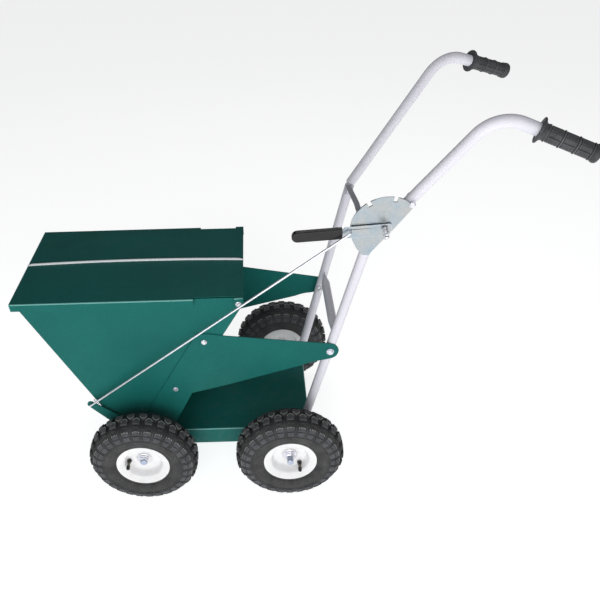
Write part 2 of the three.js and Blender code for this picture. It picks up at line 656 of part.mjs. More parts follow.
function leverBar() {
  const at = (x, up) => new THREE.Vector2(x, leverCentre(x) + up);
  const neck = PIVOT.x - LEVER_NECK;
  const tail = PIVOT.x + 13;
  const outline = [
    at(tail - 4, -13), at(tail, -9), at(tail, 10), at(tail - 4, 13.5), at(neck, 13),
    at(neck - 4, TANG_HALF), at(PIVOT.x - LEVER_REACH, TANG_HALF),
    at(PIVOT.x - LEVER_REACH, -TANG_HALF), at(neck - 4, -TANG_HALF), at(neck, -13),
  ];
  const z0 = LEVER_MID - LEVER_SHEET / 2;
  let lever = prismXY(outline, z0, z0 + LEVER_SHEET);
  lever = lever.subtract(leaningHole(PIVOT, STUD_R + GAP));
  return lever.subtract(leaningHole(ROD_HOLE, ROD_R + 2 * GAP));
}

function leverSleeve() {
  const half = SLEEVE_WIDTH / 2;
  const outline = [
    new THREE.Vector2(0, half),
    ...arc(half - SLEEVE_LENGTH, 0, half, 90, 270, 8),
    new THREE.Vector2(0, -half),
  ];
  const body = prismXY(outline, LEVER_MID - SLEEVE_THICK / 2, LEVER_MID + SLEEVE_THICK / 2);
  const z0 = LEVER_MID - LEVER_SHEET / 2 - GAP;
  const pocketHalf = TANG_HALF + GAP;
  const pocketEnd = 10 - SLEEVE_LENGTH;
  const pocket = block(pocketEnd, 1, -pocketHalf, pocketHalf, z0, z0 + LEVER_SHEET + 2 * GAP);
  const x = PIVOT.x - LEVER_NECK - 4.5;
  const geometry = geometryOf(body.subtract(pocket)).rotateZ(Math.atan(LEVER_SLOPE));
  return solidOf(geometry.translate(x, leverCentre(x), 0));
}

function pivotStud() {
  const base = new THREE.Vector3(PIVOT.x, PIVOT.w, PLATE_FACE + QUADRANT_SHEET + GAP);
  const nutFrom = base.clone().setZ(STUD_TIP - STUD_NUT);
  const nutTo = base.clone().setZ(STUD_TIP - STUD_R);
  return join(bar(base, base.clone().setZ(STUD_TIP), STUD_R, 12), bar(nutFrom, nutTo, STUD_NUT_R, 6));
}

function leverSpring() {
  const inner = new THREE.Vector3(PIVOT.x, PIVOT.w, LEVER_MID + LEVER_SHEET / 2 + GAP);
  const outer = inner.clone().setZ(STUD_TIP - STUD_NUT - GAP);
  return bar(inner, outer, SPRING_R, 14).subtract(leaningHole(PIVOT, STUD_R + GAP));
}

function quadrantBolt() {
  const head = new THREE.Vector3(QUADRANT_BOLT.x, QUADRANT_BOLT.w, PLATE_FACE + QUADRANT_SHEET + GAP);
  return boltSolid(head, new THREE.Vector3(0, 0, -1), head.z + TUBE_R + GAP, SMALL_BOLT_R);
}

piece('quadrant_plate', quadrantPlate(), zinc, leaning);
piece('quadrant_bolt', quadrantBolt(), zinc, leaning);
piece('lever_pivot_stud', pivotStud(), zinc, leaning);
piece('lever_spring', leverSpring(), zinc, leaning);
piece('lever_bar', leverBar(), zinc, leaning);
piece('lever_sleeve', leverSleeve(), gripRubber, leaning);

// ---- control rod ----
const rodTop = leanedPoint(ROD_HOLE.x, ROD_HOLE.w, ROD_MID);
const rodWay = rodTop.clone().sub(ROD_END).normalize();
const clipCentre = ROD_END.clone().addScaledVector(rodWay, 20);
const clipWay = new THREE.Vector3(rodWay.z, 0, -rodWay.x).normalize();
const acrossRod = (below, above, radius) => bar(
  clipCentre.clone().addScaledVector(clipWay, -below),
  clipCentre.clone().addScaledVector(clipWay, above),
  radius,
  8,
);

function controlRod() {
  const end = ROD_END.clone().addScaledVector(rodWay, -4);
  const hookFrom = leanedPoint(ROD_HOLE.x, ROD_HOLE.w, LEVER_MID - LEVER_SHEET / 2 - 1);
  const hookTo = leanedPoint(ROD_HOLE.x, ROD_HOLE.w, ROD_MID + ROD_R);
  const rod = join(bar(end, rodTop, ROD_R, 10), bar(hookFrom, hookTo, ROD_R, 10));
  return rod.subtract(acrossRod(2 * ROD_R, 2 * ROD_R, CLIP_R + GAP));
}

piece('control_rod', controlRod(), zinc);
piece('rod_clip', acrossRod(8, 9, CLIP_R), zinc);

// ---- rotary gate ----
function gate() {
  const wedge = [new THREE.Vector2(0, AXLE_Z), ...arc(0, AXLE_Z, 2 * GATE_R, GATE_FROM, GATE_TO, 4)];
  const sector = prismXZ(wedge, -GATE_END_Y, GATE_END_Y);
  const drum = barAlongY(0, AXLE_Z, -GATE_END_Y, GATE_END_Y, GATE_R, 48);
  const insideHalf = HOPPER_HALF + 1.4; // the end webs stand just clear of the hopper's ends
  const hollow = barAlongY(0, AXLE_Z, -insideHalf, insideHalf, GATE_R - GATE_SHEET, 48);
  const body = join(
    drum.intersect(sector).subtract(hollow),
    barAlongY(0, AXLE_Z, ARM_OUTER_Y - 0.5, -insideHalf, SLEEVE_R, 20),
    barAlongY(0, AXLE_Z, insideHalf, DECK_HALF + 2, SLEEVE_R, 20),
  );
  return body.subtract(barAlongY(0, AXLE_Z, -FAR, FAR, SLEEVE_BORE, 20));
}

function gateArm() {
  const slope = THREE.MathUtils.radToDeg(Math.atan2(ROD_END.z - AXLE_Z, ROD_END.x));
  const outline = [
    ...arc(ROD_END.x, ROD_END.z, ARM_TIP_R, slope - 80, slope + 85, 8),
    ...arc(0, AXLE_Z, ARM_HUB_R, slope + 75, slope + 280, 12),
  ];
  const arm = prismXZ(outline, ARM_OUTER_Y, ARM_OUTER_Y + ARM_SHEET);
  return arm.subtract(barAlongY(0, AXLE_Z, -FAR, 0, SLEEVE_R + GAP, 20));
}

piece('gate', gate(), greyPaint);
piece('gate_arm', gateArm(), greenPaint);

// ---- axles and agitator ----
const pinY = PIN_INBOARD - HALF_TRACK;
const pinBar = (radius) => bar(
  new THREE.Vector3(0, pinY, AXLE_Z - PIN_HALF),
  new THREE.Vector3(0, pinY, AXLE_Z + PIN_HALF),
  radius,
  10,
);

function agitator() {
  let body = barAlongY(0, AXLE_Z, -AGITATOR_HALF, AGITATOR_HALF, AGITATOR_R, 16);
  for (const angle of BLADE_ANGLES) {
    const blade = new THREE.BoxGeometry(11, 2 * AGITATOR_HALF, 2).translate(AGITATOR_R + 3.5, 0, 0);
    blade.rotateY(THREE.MathUtils.degToRad(-angle)).translate(0, 0, AXLE_Z);
    body = body.add(solidOf(blade));
  }
  return body.subtract(barAlongY(0, AXLE_Z, -FAR, FAR, AXLE_R + GAP, 20));
}

const frontAxle = barAlongY(0, AXLE_Z, -FRONT_AXLE_HALF, FRONT_AXLE_HALF, AXLE_R, 20);
piece('front_axle', frontAxle.subtract(pinBar(PIN_R + GAP)), zinc);
piece('drive_pin', pinBar(PIN_R), zinc);
piece('agitator', agitator(), zinc);
piece('rear_axle', barAlongY(WHEELBASE, AXLE_Z, -REAR_AXLE_HALF, REAR_AXLE_HALF, AXLE_R, 20), zinc);

// ---- wheels, modelled about their own centre with -Y outboard, then turned for the right side ----
const mirrored = (half) => [...half, ...half.map(([r, y]) => [r, -y]).reverse()];

function tyre() {
  const outer = [[52.8, -24], [67, -33], [91, -43], [116, -41], [TYRE_R, -21]];
  const inner = [[52.8, 17], [107, 34], [126, 12]];
  return turned([...mirrored(outer), ...mirrored(inner)], 24);
}

function rim(bore) {
  const profile = [
    [bore, -HUB_OUTBOARD], [HUB_R, -HUB_OUTBOARD], [HUB_R, -4], [43, -6], [47, -27], [63, -34], [64, -32],
    [51, -25], [51, 25], [64, 32], [63, 34], [47, 27], [44, 3], [HUB_R, 1],
    [HUB_R, HUB_INBOARD], [bore, HUB_INBOARD],
  ];
  return turned(profile, 18);
}

function nut() {
  const washer = new THREE.Vector3(0, -HUB_OUTBOARD - GAP, 0);
  const body = join(
    bar(washer, washer.clone().setY(-HUB_OUTBOARD - 3), WASHER_R, 20),
    bar(washer, washer.clone().setY(-HUB_OUTBOARD - 12), AXLE_NUT_R, 6),
  );
  return body.subtract(barAlongY(0, 0, -FAR, 0, AXLE_R + GAP, 20));
}

function bush() {
  const outside = barAlongY(0, 0, 1 - HUB_OUTBOARD, HALF_TRACK - DECK_HALF - 7, BUSH_R, 16);
  return outside.subtract(barAlongY(0, 0, -FAR, FAR, AXLE_R + GAP, 20));
}

function valve(angle) {
  const turn = THREE.MathUtils.degToRad(angle);
  const x = VALVE_R * Math.cos(turn);
  const z = VALVE_R * Math.sin(turn);
  return barAlongY(x, z, -38, -8, 3.5, 10);
}

const WHEELS = [
  ['front_left', 0, -1, VALVE_ANGLE_FRONT], ['front_right', 0, 1, VALVE_ANGLE_FRONT],
  ['rear_left', WHEELBASE, -1, VALVE_ANGLE_REAR], ['rear_right', WHEELBASE, 1, VALVE_ANGLE_REAR],
];
for (const [name, x, side, valveAngle] of WHEELS) {
  const wheel = new THREE.Group();
  wheel.position.set(x, side * HALF_TRACK, AXLE_Z);
  wheel.rotation.z = side > 0 ? Math.PI : 0;
  machine.add(wheel);
  const driven = name === 'front_left';
  let wheelRim = rim((driven ? AXLE_R : BUSH_R) + GAP);
  if (driven) {
    const pinFrom = new THREE.Vector3(0, PIN_INBOARD, -2 * HUB_R);
    wheelRim = wheelRim.subtract(bar(pinFrom, pinFrom.clone().setZ(2 * HUB_R), PIN_R + GAP, 10));
  } else {
    piece(`wheel_bush_${name}`, bush(), zinc, wheel);
  }
  piece(`tyre_${name}`, tyre(), rubber, wheel);
  piece(`rim_${name}`, wheelRim, whitePaint, wheel);
  piece(`axle_nut_${name}`, nut(), zinc, wheel);
  piece(`valve_stem_${name}`, valve(valveAngle), gripRubber, wheel);
}

// the origin is the middle of the footprint, on the ground
machine.updateMatrixWorld(true);
const extent = new THREE.Box3().setFromObject(machine, true);
machine.position.set(-(extent.min.x + extent.max.x) / 2, 0, TYRE_R - AXLE_Z);
const root = new THREE.Group();
root.add(machine);

export default root;
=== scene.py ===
"""Four-wheel drop spreader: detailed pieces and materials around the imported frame.

Metres, +Z up, +X from the hopper to the handle, +Y to the operator's right. Every piece takes its
place from the frame's own solids, so nothing here is fitted by eye.
"""
import json
import math

import bmesh
import bpy
from mathutils import Matrix, Vector
from mathutils.geometry import intersect_line_line


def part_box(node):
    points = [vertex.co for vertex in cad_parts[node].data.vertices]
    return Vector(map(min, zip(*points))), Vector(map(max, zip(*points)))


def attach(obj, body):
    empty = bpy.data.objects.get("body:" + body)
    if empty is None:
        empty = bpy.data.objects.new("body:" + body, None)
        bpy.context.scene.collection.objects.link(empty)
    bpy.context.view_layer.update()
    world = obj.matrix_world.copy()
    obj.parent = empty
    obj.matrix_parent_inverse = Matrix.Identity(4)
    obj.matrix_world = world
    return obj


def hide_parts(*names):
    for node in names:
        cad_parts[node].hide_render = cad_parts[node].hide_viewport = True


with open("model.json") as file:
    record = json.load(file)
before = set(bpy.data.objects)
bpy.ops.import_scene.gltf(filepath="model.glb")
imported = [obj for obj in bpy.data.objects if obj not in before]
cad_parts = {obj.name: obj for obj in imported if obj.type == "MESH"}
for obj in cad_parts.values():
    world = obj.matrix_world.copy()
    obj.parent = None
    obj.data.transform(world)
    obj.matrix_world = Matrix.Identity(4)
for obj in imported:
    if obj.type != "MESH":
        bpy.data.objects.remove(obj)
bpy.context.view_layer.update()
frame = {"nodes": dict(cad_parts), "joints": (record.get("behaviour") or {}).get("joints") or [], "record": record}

MM = 0.001
RECORD = frame["record"]
BODY_OF = {node: body for body, nodes in RECORD["behaviour"]["bodies"].items() for node in nodes}
JOINTS = {joint["name"]: joint for joint in frame["joints"]}
SIDES = (("left", -1), ("right", 1))
X_AXIS = Vector((1, 0, 0))
Y_AXIS = Vector((0, 1, 0))
Z_AXIS = Vector((0, 0, 1))


# ---- materials ----------------------------------------------------------------------------------
class Shader:
    """A material with a Principled shader, and short ways to feed it from procedural nodes."""

    def __init__(self, name, roughness=0.5, metallic=0.0, specular=0.5):
        self.material = bpy.data.materials.new(name)
        self.material.use_nodes = True
        self.tree = self.material.node_tree
        self.shader = self.tree.nodes["Principled BSDF"]
        self.shader.inputs["Roughness"].default_value = roughness
        self.shader.inputs["Metallic"].default_value = metallic
        self.shader.inputs["Specular IOR Level"].default_value = specular
        self.place = self.tree.nodes.new("ShaderNodeTexCoord").outputs["Object"]

    def link(self, output, socket):
        self.tree.links.new(output, socket)

    def noise(self, size, detail=2.0, stretch=None):
        """Noise with grains about as wide as size, in metres."""
        node = self.tree.nodes.new("ShaderNodeTexNoise")
        node.inputs["Scale"].default_value = 1 / size
        node.inputs["Detail"].default_value = detail
        place = self.place
        if stretch:
            mapping = self.tree.nodes.new("ShaderNodeMapping")
            mapping.inputs["Scale"].default_value = stretch
            self.link(self.place, mapping.inputs["Vector"])
            place = mapping.outputs["Vector"]
        self.link(place, node.inputs["Vector"])
        return node.outputs["Fac"]

    def cells(self, size):
        """Crystals about as wide as size, in metres, each with its own random value."""
        node = self.tree.nodes.new("ShaderNodeTexVoronoi")
        node.inputs["Scale"].default_value = 1 / size
        self.link(self.place, node.inputs["Vector"])
        return node.outputs["Color"]

    def spread(self, value, low, high, to_low=0.0, to_high=1.0):
        """Stretches the values from low to high over the range from to_low to to_high."""
        node = self.tree.nodes.new("ShaderNodeMapRange")
        node.inputs["From Min"].default_value = low
        node.inputs["From Max"].default_value = high
        node.inputs["To Min"].default_value = to_low
        node.inputs["To Max"].default_value = to_high
        self.link(value, node.inputs["Value"])
        return node.outputs["Result"]

    def height(self):
        """Height over the ground, in metres."""
        node = self.tree.nodes.new("ShaderNodeSeparateXYZ")
        self.link(self.place, node.inputs["Vector"])
        return node.outputs["Z"]

    def blend(self, factor, first, second):
        """Mixes two colours, each a tuple or a socket."""
        node = self.tree.nodes.new("ShaderNodeMix")
        node.data_type = "RGBA"
        self.link(factor, node.inputs["Factor"])
        for socket, colour in ((node.inputs[6], first), (node.inputs[7], second)):
            if isinstance(colour, tuple):
                socket.default_value = (*colour, 1)
            else:
                self.link(colour, socket)
        return node.outputs[2]

    def multiply(self, first, second):
        node = self.tree.nodes.new("ShaderNodeMath")
        node.operation = "MULTIPLY"
        self.link(first, node.inputs[0])
        self.link(second, node.inputs[1])
        return node.outputs["Value"]

    def colour(self, output):
        self.link(output, self.shader.inputs["Base Color"])

    def rough(self, output):
        self.link(output, self.shader.inputs["Roughness"])

    def bump(self, *layers):
        """Stacks bumps, each (height output, depth in metres)."""
        normal = None
        for output, depth in layers:
            node = self.tree.nodes.new("ShaderNodeBump")
            node.inputs["Strength"].default_value = 1.0
            node.inputs["Distance"].default_value = depth
            self.link(output, node.inputs["Height"])
            if normal:
                self.link(normal, node.inputs["Normal"])
            normal = node.outputs["Normal"]
        self.link(normal, self.shader.inputs["Normal"])


DUSTY_BELOW = 0.2  # metres: dust thins out up to this height
ORANGE_PEEL = 0.02 * MM
SHEET_WAVINESS = 0.5 * MM


def paint_material(name, colour, deep, dust, roughness, gloss=(1, 1, 1), fleck=1.1):
    """Sprayed paint: slight orange peel, soft colour drift, and pale dust low on the machine.

    The gloss is the colour of its reflections, and fleck says how much brighter its flecks are.
    """
    m = Shader(name, specular=0.28)
    m.shader.inputs["Specular Tint"].default_value = (*gloss, 1)
    drift = m.spread(m.noise(0.16, 3), 0.3, 0.7)
    base = m.blend(drift, colour, deep)
    speckle = m.spread(m.noise(0.0055, 5), 0.4, 0.7)
    tone = tuple(channel * fleck for channel in colour)
    base = m.blend(m.multiply(speckle, m.spread(drift, 0, 1, 0.35, 0.15)), base, tone)
    low_down = m.spread(m.height(), DUSTY_BELOW, 0.0, 0.0, 0.5)
    patches = m.spread(m.noise(0.02, 6), 0.45, 0.75)
    m.colour(m.blend(m.multiply(low_down, patches), base, dust))
    m.rough(m.spread(m.noise(0.05, 4), 0.3, 0.7, roughness - 0.06, roughness + 0.08))
    m.bump((m.noise(0.0016, 2), ORANGE_PEEL), (m.noise(0.09, 1), SHEET_WAVINESS))
    return m.material


def zinc_material(name, cool, warm, crystal, roughness):
    """Zinc plating: crystals a few millimetres wide, faint cool and warm tints, fine scratches."""
    m = Shader(name, metallic=1.0)
    tint = m.blend(m.spread(m.noise(0.035, 3), 0.35, 0.65), cool, warm)
    grain = m.spread(m.cells(0.004), 0.0, 1.0, 0.0, 0.35)
    m.colour(m.blend(grain, tint, crystal))
    scratches = m.noise(0.004, 4, stretch=(1, 14, 14))
    m.rough(m.spread(scratches, 0.25, 0.75, roughness - 0.07, roughness + 0.1))
    m.bump((scratches, 0.03 * MM), (m.noise(0.03, 1), 0.3 * MM))
    return m.material


def rubber_material(name, dark, dusty, roughness=0.78):
    """Moulded rubber with dust in patches and a fine pebbled skin."""
    m = Shader(name, specular=0.35)
    patches = m.spread(m.noise(0.03, 6), 0.35, 0.72)
    fine = m.spread(m.noise(0.003, 4), 0.35, 0.7)
    base = m.blend(fine, dark, tuple(channel * 1.5 for channel in dark))
    m.colour(m.blend(m.multiply(patches, m.spread(fine, 0, 1, 0.3, 0.9)), base, dusty))
    m.rough(m.spread(m.noise(0.02, 3), 0.3, 0.7, roughness - 0.12, roughness + 0.08))
    m.bump((m.noise(0.0012, 3), 0.12 * MM))
    return m.material


def plastic_material(name, dark, light, roughness):
    """Smooth vinyl or glossy plastic with slight wear."""
    m = Shader(name)
    m.colour(m.blend(m.spread(m.noise(0.012, 5), 0.4, 0.75), dark, light))
    m.rough(m.spread(m.noise(0.008, 4), 0.3, 0.7, roughness - 0.08, roughness + 0.1))
    m.bump((m.noise(0.0009, 2), 0.04 * MM))
    return m.material


GREEN = paint_material(
    "green_paint", (0.009, 0.129, 0.113), (0.007, 0.104, 0.092), (0.14, 0.19, 0.17), 0.46,
    gloss=(0.35, 1, 0.95), fleck=1.4,
)
# Painted highlight: a light green laid on the rounded folds of the lid and deck, where light catches their edges.
GREEN_FOLD_HIGHLIGHT = paint_material(
    "green_fold_highlight_paint", (0.20, 0.50, 0.46), (0.15, 0.42, 0.39), (0.3, 0.42, 0.40), 0.30,
)
SILVER = paint_material(
    "silver_paint", (0.79, 0.78, 0.85), (0.74, 0.73, 0.80), (0.62, 0.60, 0.58), 0.5,
)
GREY = paint_material(
    "grey_paint", (0.42, 0.42, 0.46), (0.35, 0.35, 0.39), (0.2, 0.2, 0.2), 0.5,
)
WHITE = paint_material(
    "white_paint", (0.90, 0.90, 0.90), (0.87, 0.87, 0.88), (0.74, 0.72, 0.69), 0.34,
)
ZINC = zinc_material("zinc_plate", (0.36, 0.45, 0.52), (0.48, 0.49, 0.48), (0.60, 0.63, 0.65), 0.32)
BOLT_ZINC = zinc_material("zinc_bolts", (0.70, 0.72, 0.82), (0.80, 0.80, 0.82), (0.95, 0.95, 0.97), 0.36)
ROD_ZINC = zinc_material("zinc_rod", (0.80, 0.82, 0.92), (0.88, 0.88, 0.94), (1.0, 1.0, 1.0), 0.42)
AXLE_ZINC = zinc_material("zinc_axle", (0.42, 0.50, 0.66), (0.52, 0.56, 0.66), (0.62, 0.66, 0.74), 0.42)
TYRE = rubber_material("tyre_rubber", (0.030, 0.030, 0.031), (0.092, 0.092, 0.094))
TYRE_PAD = rubber_material("tyre_pads", (0.050, 0.052, 0.058), (0.130, 0.134, 0.145))
# Painted highlight: pale grey rubber on the top borders of the tread blocks and pad crests, standing in for light
# catching them.
TYRE_HIGHLIGHT = rubber_material("tyre_highlight_paint", (0.29, 0.285, 0.28), (0.52, 0.505, 0.48), 0.85)
TYRE_BLOCK = rubber_material("tyre_blocks", (0.062, 0.062, 0.066), (0.15, 0.15, 0.155), 0.8)
GRIP = rubber_material("grip_rubber", (0.042, 0.045, 0.049), (0.085, 0.090, 0.096), 0.6)
GRIP_EDGE = rubber_material("grip_edge", (0.085, 0.089, 0.094), (0.15, 0.155, 0.162), 0.6)
VALVE = rubber_material("valve_rubber", (0.018, 0.018, 0.018), (0.05, 0.048, 0.045), 0.6)
LINE = plastic_material("white_line", (0.95, 0.99, 1.0), (0.92, 0.96, 1.0), 0.25)
# Painted highlight: near-white on the lever bar's rounded edges, standing in for the glint of light on them.
LEVER_HIGHLIGHT = plastic_material("lever_highlight_paint", (0.90, 0.93, 1.0), (0.97, 0.98, 1.0), 0.3)
SLEEVE = plastic_material("sleeve_vinyl", (0.003, 0.003, 0.0032), (0.009, 0.009, 0.0095), 0.34)
BRASS = plastic_material("valve_brass", (0.10, 0.09, 0.05), (0.20, 0.17, 0.09), 0.35)


# ---- reading the frame --------------------------------------------------------------------------
def middle(node):
    low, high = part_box(node)
    return (low + high) / 2


def extent_along(node, origin, direction):
    """Where a CAD solid starts and ends along a line, as distances from its origin."""
    reach = [(vertex.co - origin).dot(direction) for vertex in frame["nodes"][node].data.vertices]
    return min(reach), max(reach)


def section_points(node, axis, value):
    """Corners of a CAD tube's cross-section, where the coordinate along the axis has that value."""
    bm = bmesh.new()
    bm.from_mesh(frame["nodes"][node].data)
    geometry = bm.verts[:] + bm.edges[:] + bm.faces[:]
    cut = bmesh.ops.bisect_plane(bm, geom=geometry, plane_co=axis * value, plane_no=axis)
    points = [item.co.copy() for item in cut["geom_cut"] if isinstance(item, bmesh.types.BMVert)]
    bm.free()
    return points


def section_centre(node, axis, value):
    points = section_points(node, axis, value)
    low = Vector(tuple(min(p[i] for p in points) for i in range(3)))
    high = Vector(tuple(max(p[i] for p in points) for i in range(3)))
    return (low + high) / 2


def section_radius(node, axis, value):
    """Half the height of a CAD tube's cross-section."""
    heights = [point.z for point in section_points(node, axis, value)]
    return (max(heights) - min(heights)) / 2


# ---- making pieces ------------------------------------------------------------------------------
def add_piece(bm, node, *materials, sharp=35, weighted=False):
    """Turns a bmesh into a piece that stands for the CAD node and rides on its body."""
    name = f"{node}_fine"
    bmesh.ops.recalc_face_normals(bm, faces=bm.faces)
    mesh = bpy.data.meshes.new(name)
    bm.to_mesh(mesh)
    bm.free()
    for material in materials:
        mesh.materials.append(material)
    mesh.polygons.foreach_set("use_smooth", [True] * len(mesh.polygons))
    mesh.set_sharp_from_angle(angle=math.radians(sharp))
    piece = bpy.data.objects.new(name, mesh)
    bpy.context.scene.collection.objects.link(piece)
    if weighted:
        modifier = piece.modifiers.new("normals", "WEIGHTED_NORMAL")
        modifier.keep_sharp = True
    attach(piece, BODY_OF[node])
    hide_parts(node)


def sharp_edges(bm, degrees):
    """Edges where the surface turns by more than the angle."""
    limit = math.radians(degrees)
    return [edge for edge in bm.edges if len(edge.link_faces) == 2 and edge.calc_face_angle(0) > limit]


def breadth(face):
    """Mean width of a face across its longest edge."""
    return face.calc_area() / max(edge.calc_length() for edge in face.edges)


def is_fold(edge, sheet):
    """True on the outside of a fold: convex, with a face wider than the sheet on each side."""
    return edge.is_convex and all(breadth(face) > 3 * sheet for face in edge.link_faces)


def refined(node, *materials, edge=0.35 * MM, edge_segments=2, fold=None, sheet=2 * MM, sharp=35):
    """A CAD solid with rounded folds and softened edges, which stands for the node.

    A second material, a painted highlight, goes on the rounded folds, or on the softened edges of a piece without
    folds.
    """
    bm = bmesh.new()
    bm.from_mesh(frame["nodes"][node].data)
    bmesh.ops.remove_doubles(bm, verts=bm.verts, dist=1e-6)
    bmesh.ops.dissolve_limit(bm, angle_limit=math.radians(0.5), verts=bm.verts, edges=bm.edges)
    # slot of the painted highlight, when a second material is given
    painted_highlight = 1 if len(materials) > 1 else -1
    if fold:
        folds = [e for e in sharp_edges(bm, 50) if is_fold(e, sheet)]
        bmesh.ops.bevel(
            bm, geom=folds, offset=fold, segments=4, profile=0.5, affect="EDGES", material=painted_highlight,
        )
    bmesh.ops.bevel(
        bm, geom=sharp_edges(bm, 40), offset=edge, segments=edge_segments, profile=0.5,
        affect="EDGES", clamp_overlap=True, material=-1 if fold else painted_highlight,
    )
    add_piece(bm, node, *materials, sharp=sharp, weighted=True)


def across(axis):
    """Two unit vectors square to an axis and to each other."""
    guide = Z_AXIS if abs(axis.z) < 0.9 else X_AXIS
    first = axis.cross(guide).normalized()
    return first, axis.cross(first).normalized()


def ring(bm, centre, axis, radius, sides, phase=0.0, start=None):
    """A loop of vertices round an axis; start fixes where the first one stands."""
    first = start or across(axis)[0]
    second = axis.cross(first)
    angles = [phase + math.tau * i / sides for i in range(sides)]
    return [bm.verts.new(centre + radius * (math.cos(a) * first + math.sin(a) * second)) for a in angles]


def bridge(bm, lower, upper, material=0):
    """A band of faces between two loops of vertices."""
    count = len(lower)
    for i in range(count):
        j = (i + 1) % count
        bm.faces.new((lower[i], lower[j], upper[j], upper[i])).material_index = material


def turned(bm, origin, axis, profile, sides=32, loop=False, phase=0.0, material=0):
    """A profile of (along, radius) pairs turned round an axis; a loop profile makes a ring."""
    rings = [ring(bm, origin + axis * along, axis, radius, sides, phase) for along, radius in profile]
    for lower, upper in zip(rings, rings[1:]):
        bridge(bm, lower, upper, material)
    if loop:
        bridge(bm, rings[-1], rings[0], material)
    else:
        bm.faces.new(rings[0][::-1]).material_index = material
        bm.faces.new(rings[-1]).material_index = material


def swept(bm, points, radius, sides=24, end=1.0 * MM):
    """A round bar or tube along a list of points, with slightly rounded ends."""
    tangents = []
    for i, point in enumerate(points):
        before = points[max(i - 1, 0)]
        after = points[min(i + 1, len(points) - 1)]
        tangents.append((after - before).normalized())
    start = across(tangents[0])[0]
    rings = []
    last = len(points) - 1
    for i, (point, tangent) in enumerate(zip(points, tangents)):
        start = (start - tangent * start.dot(tangent)).normalized()
        if i == 0:
            rings.append(ring(bm, point, tangent, radius - end, sides, start=start))
            rings.append(ring(bm, point + tangent * end, tangent, radius, sides, start=start))
        elif i == last:
            rings.append(ring(bm, point - tangent * end, tangent, radius, sides, start=start))
            rings.append(ring(bm, point, tangent, radius - end, sides, start=start))
        else:
            rings.append(ring(bm, point, tangent, radius, sides, start=start))
    for lower, upper in zip(rings, rings[1:]):
        bridge(bm, lower, upper)
    bm.faces.new(rings[0][::-1])
    bm.faces.new(rings[-1])


def rounded_corner(start, corner, end, radius, steps=14):
    """Points from start to end, with the corner between them replaced by an arc."""
    into = (corner - start).normalized()
    out = (end - corner).normalized()
    turn = into.angle(out)
    reach = radius * math.tan(turn / 2)
    inwards = (out - into * math.cos(turn)).normalized()
    first = corner - into * reach
    points = [start]
    for i in range(steps + 1):
        angle = turn * i / steps
        points.append(first + into * radius * math.sin(angle) + inwards * radius * (1 - math.cos(angle)))
    return points + [end]


def box_shape(bm, low, high, edge):
    """A box with rounded edges."""
    made = bmesh.ops.create_cube(bm, size=1.0)["verts"]
    size = high - low
    place = Matrix.Translation((low + high) / 2) @ Matrix.Diagonal((*size, 1))
    bmesh.ops.transform(bm, matrix=place, verts=made)
    edges = list({e for v in made for e in v.link_edges})
    bmesh.ops.bevel(bm, geom=edges, offset=edge, segments=2, profile=0.5, affect="EDGES")


# ---- camera, floor and light --------------------------------------------------------------------
CAMERA_AT = Vector((-0.0248, -1.2702, 1.2842))
CAMERA_PITCH = 41.941  # degrees below the horizon
CAMERA_YAW = 0.117
CAMERA_ROLL = -1.71
CAMERA_LENS = 36.80  # mm on a 36 mm sensor
CAMERA_SHIFT = (0.0670, 0.1484)


def make_camera():
    pitch, yaw, roll = (math.radians(a) for a in (CAMERA_PITCH, CAMERA_YAW, CAMERA_ROLL))
    forward = Vector((-math.sin(yaw) * math.cos(pitch), math.cos(yaw) * math.cos(pitch), -math.sin(pitch)))
    level = Vector((math.cos(yaw), math.sin(yaw), 0))
    upright = level.cross(forward)
    right = level * math.cos(roll) + upright * math.sin(roll)
    up = upright * math.cos(roll) - level * math.sin(roll)
    data = bpy.data.cameras.new("camera")
    data.lens = CAMERA_LENS
    data.sensor_width = 36
    data.shift_x, data.shift_y = CAMERA_SHIFT
    camera = bpy.data.objects.new("camera", data)
    turn = Matrix((right, up, -forward)).transposed().to_4x4()
    camera.matrix_world = Matrix.Translation(CAMERA_AT) @ turn
    bpy.context.scene.collection.objects.link(camera)
    bpy.context.scene.camera = camera


FLOOR_HALF = 9  # metres
FLOOR_GLOW = 0.76  # a lit white sweep, brighter than the room above it


def make_floor():
    bm = bmesh.new()
    bmesh.ops.create_grid(bm, x_segments=1, y_segments=1, size=FLOOR_HALF)
    mesh = bpy.data.meshes.new("floor")
    bm.to_mesh(mesh)
    bm.free()
    floor = bpy.data.objects.new("floor", mesh)
    m = Shader("floor", roughness=0.8, specular=0.2)
    m.colour(m.blend(m.noise(0.4, 2), (0.80, 0.80, 0.80), (0.83, 0.83, 0.83)))
    m.shader.inputs["Emission Color"].default_value = (1, 1, 1, 1)
    m.shader.inputs["Emission Strength"].default_value = FLOOR_GLOW
    mesh.materials.append(m.material)
    bpy.context.scene.collection.objects.link(floor)
    floor.location.z = -0.5 * MM


def area_light(name, at, aim, size, power, colour=(1, 1, 1)):
    data = bpy.data.lights.new(name, "AREA")
    data.shape = "RECTANGLE"
    data.size, data.size_y = size
    data.energy = power
    data.color = colour
    light = bpy.data.objects.new(name, data)
    light.location = at
    light.rotation_euler = (Vector(aim) - Vector(at)).to_track_quat("-Z", "Y").to_euler()
    bpy.context.scene.collection.objects.link(light)


def make_light():
    world = bpy.data.worlds.new("sky")
    world.use_nodes = True
    sky = world.node_tree.nodes["Background"]
    sky.inputs["Color"].default_value = (0.95, 0.97, 1.0, 1)
    sky.inputs["Strength"].default_value = 0.12
    bpy.context.scene.world = world
    area_light("front", (-0.2, -3.4, 1.5), (0, 0, 0.35), (3.4, 2.2), 78)
    area_light("back", (0.5, 1.5, 2.8), (0.3, 0, 0.7), (2.4, 0.8), 9)
    bpy.context.scene.view_settings.view_transform = "Standard"


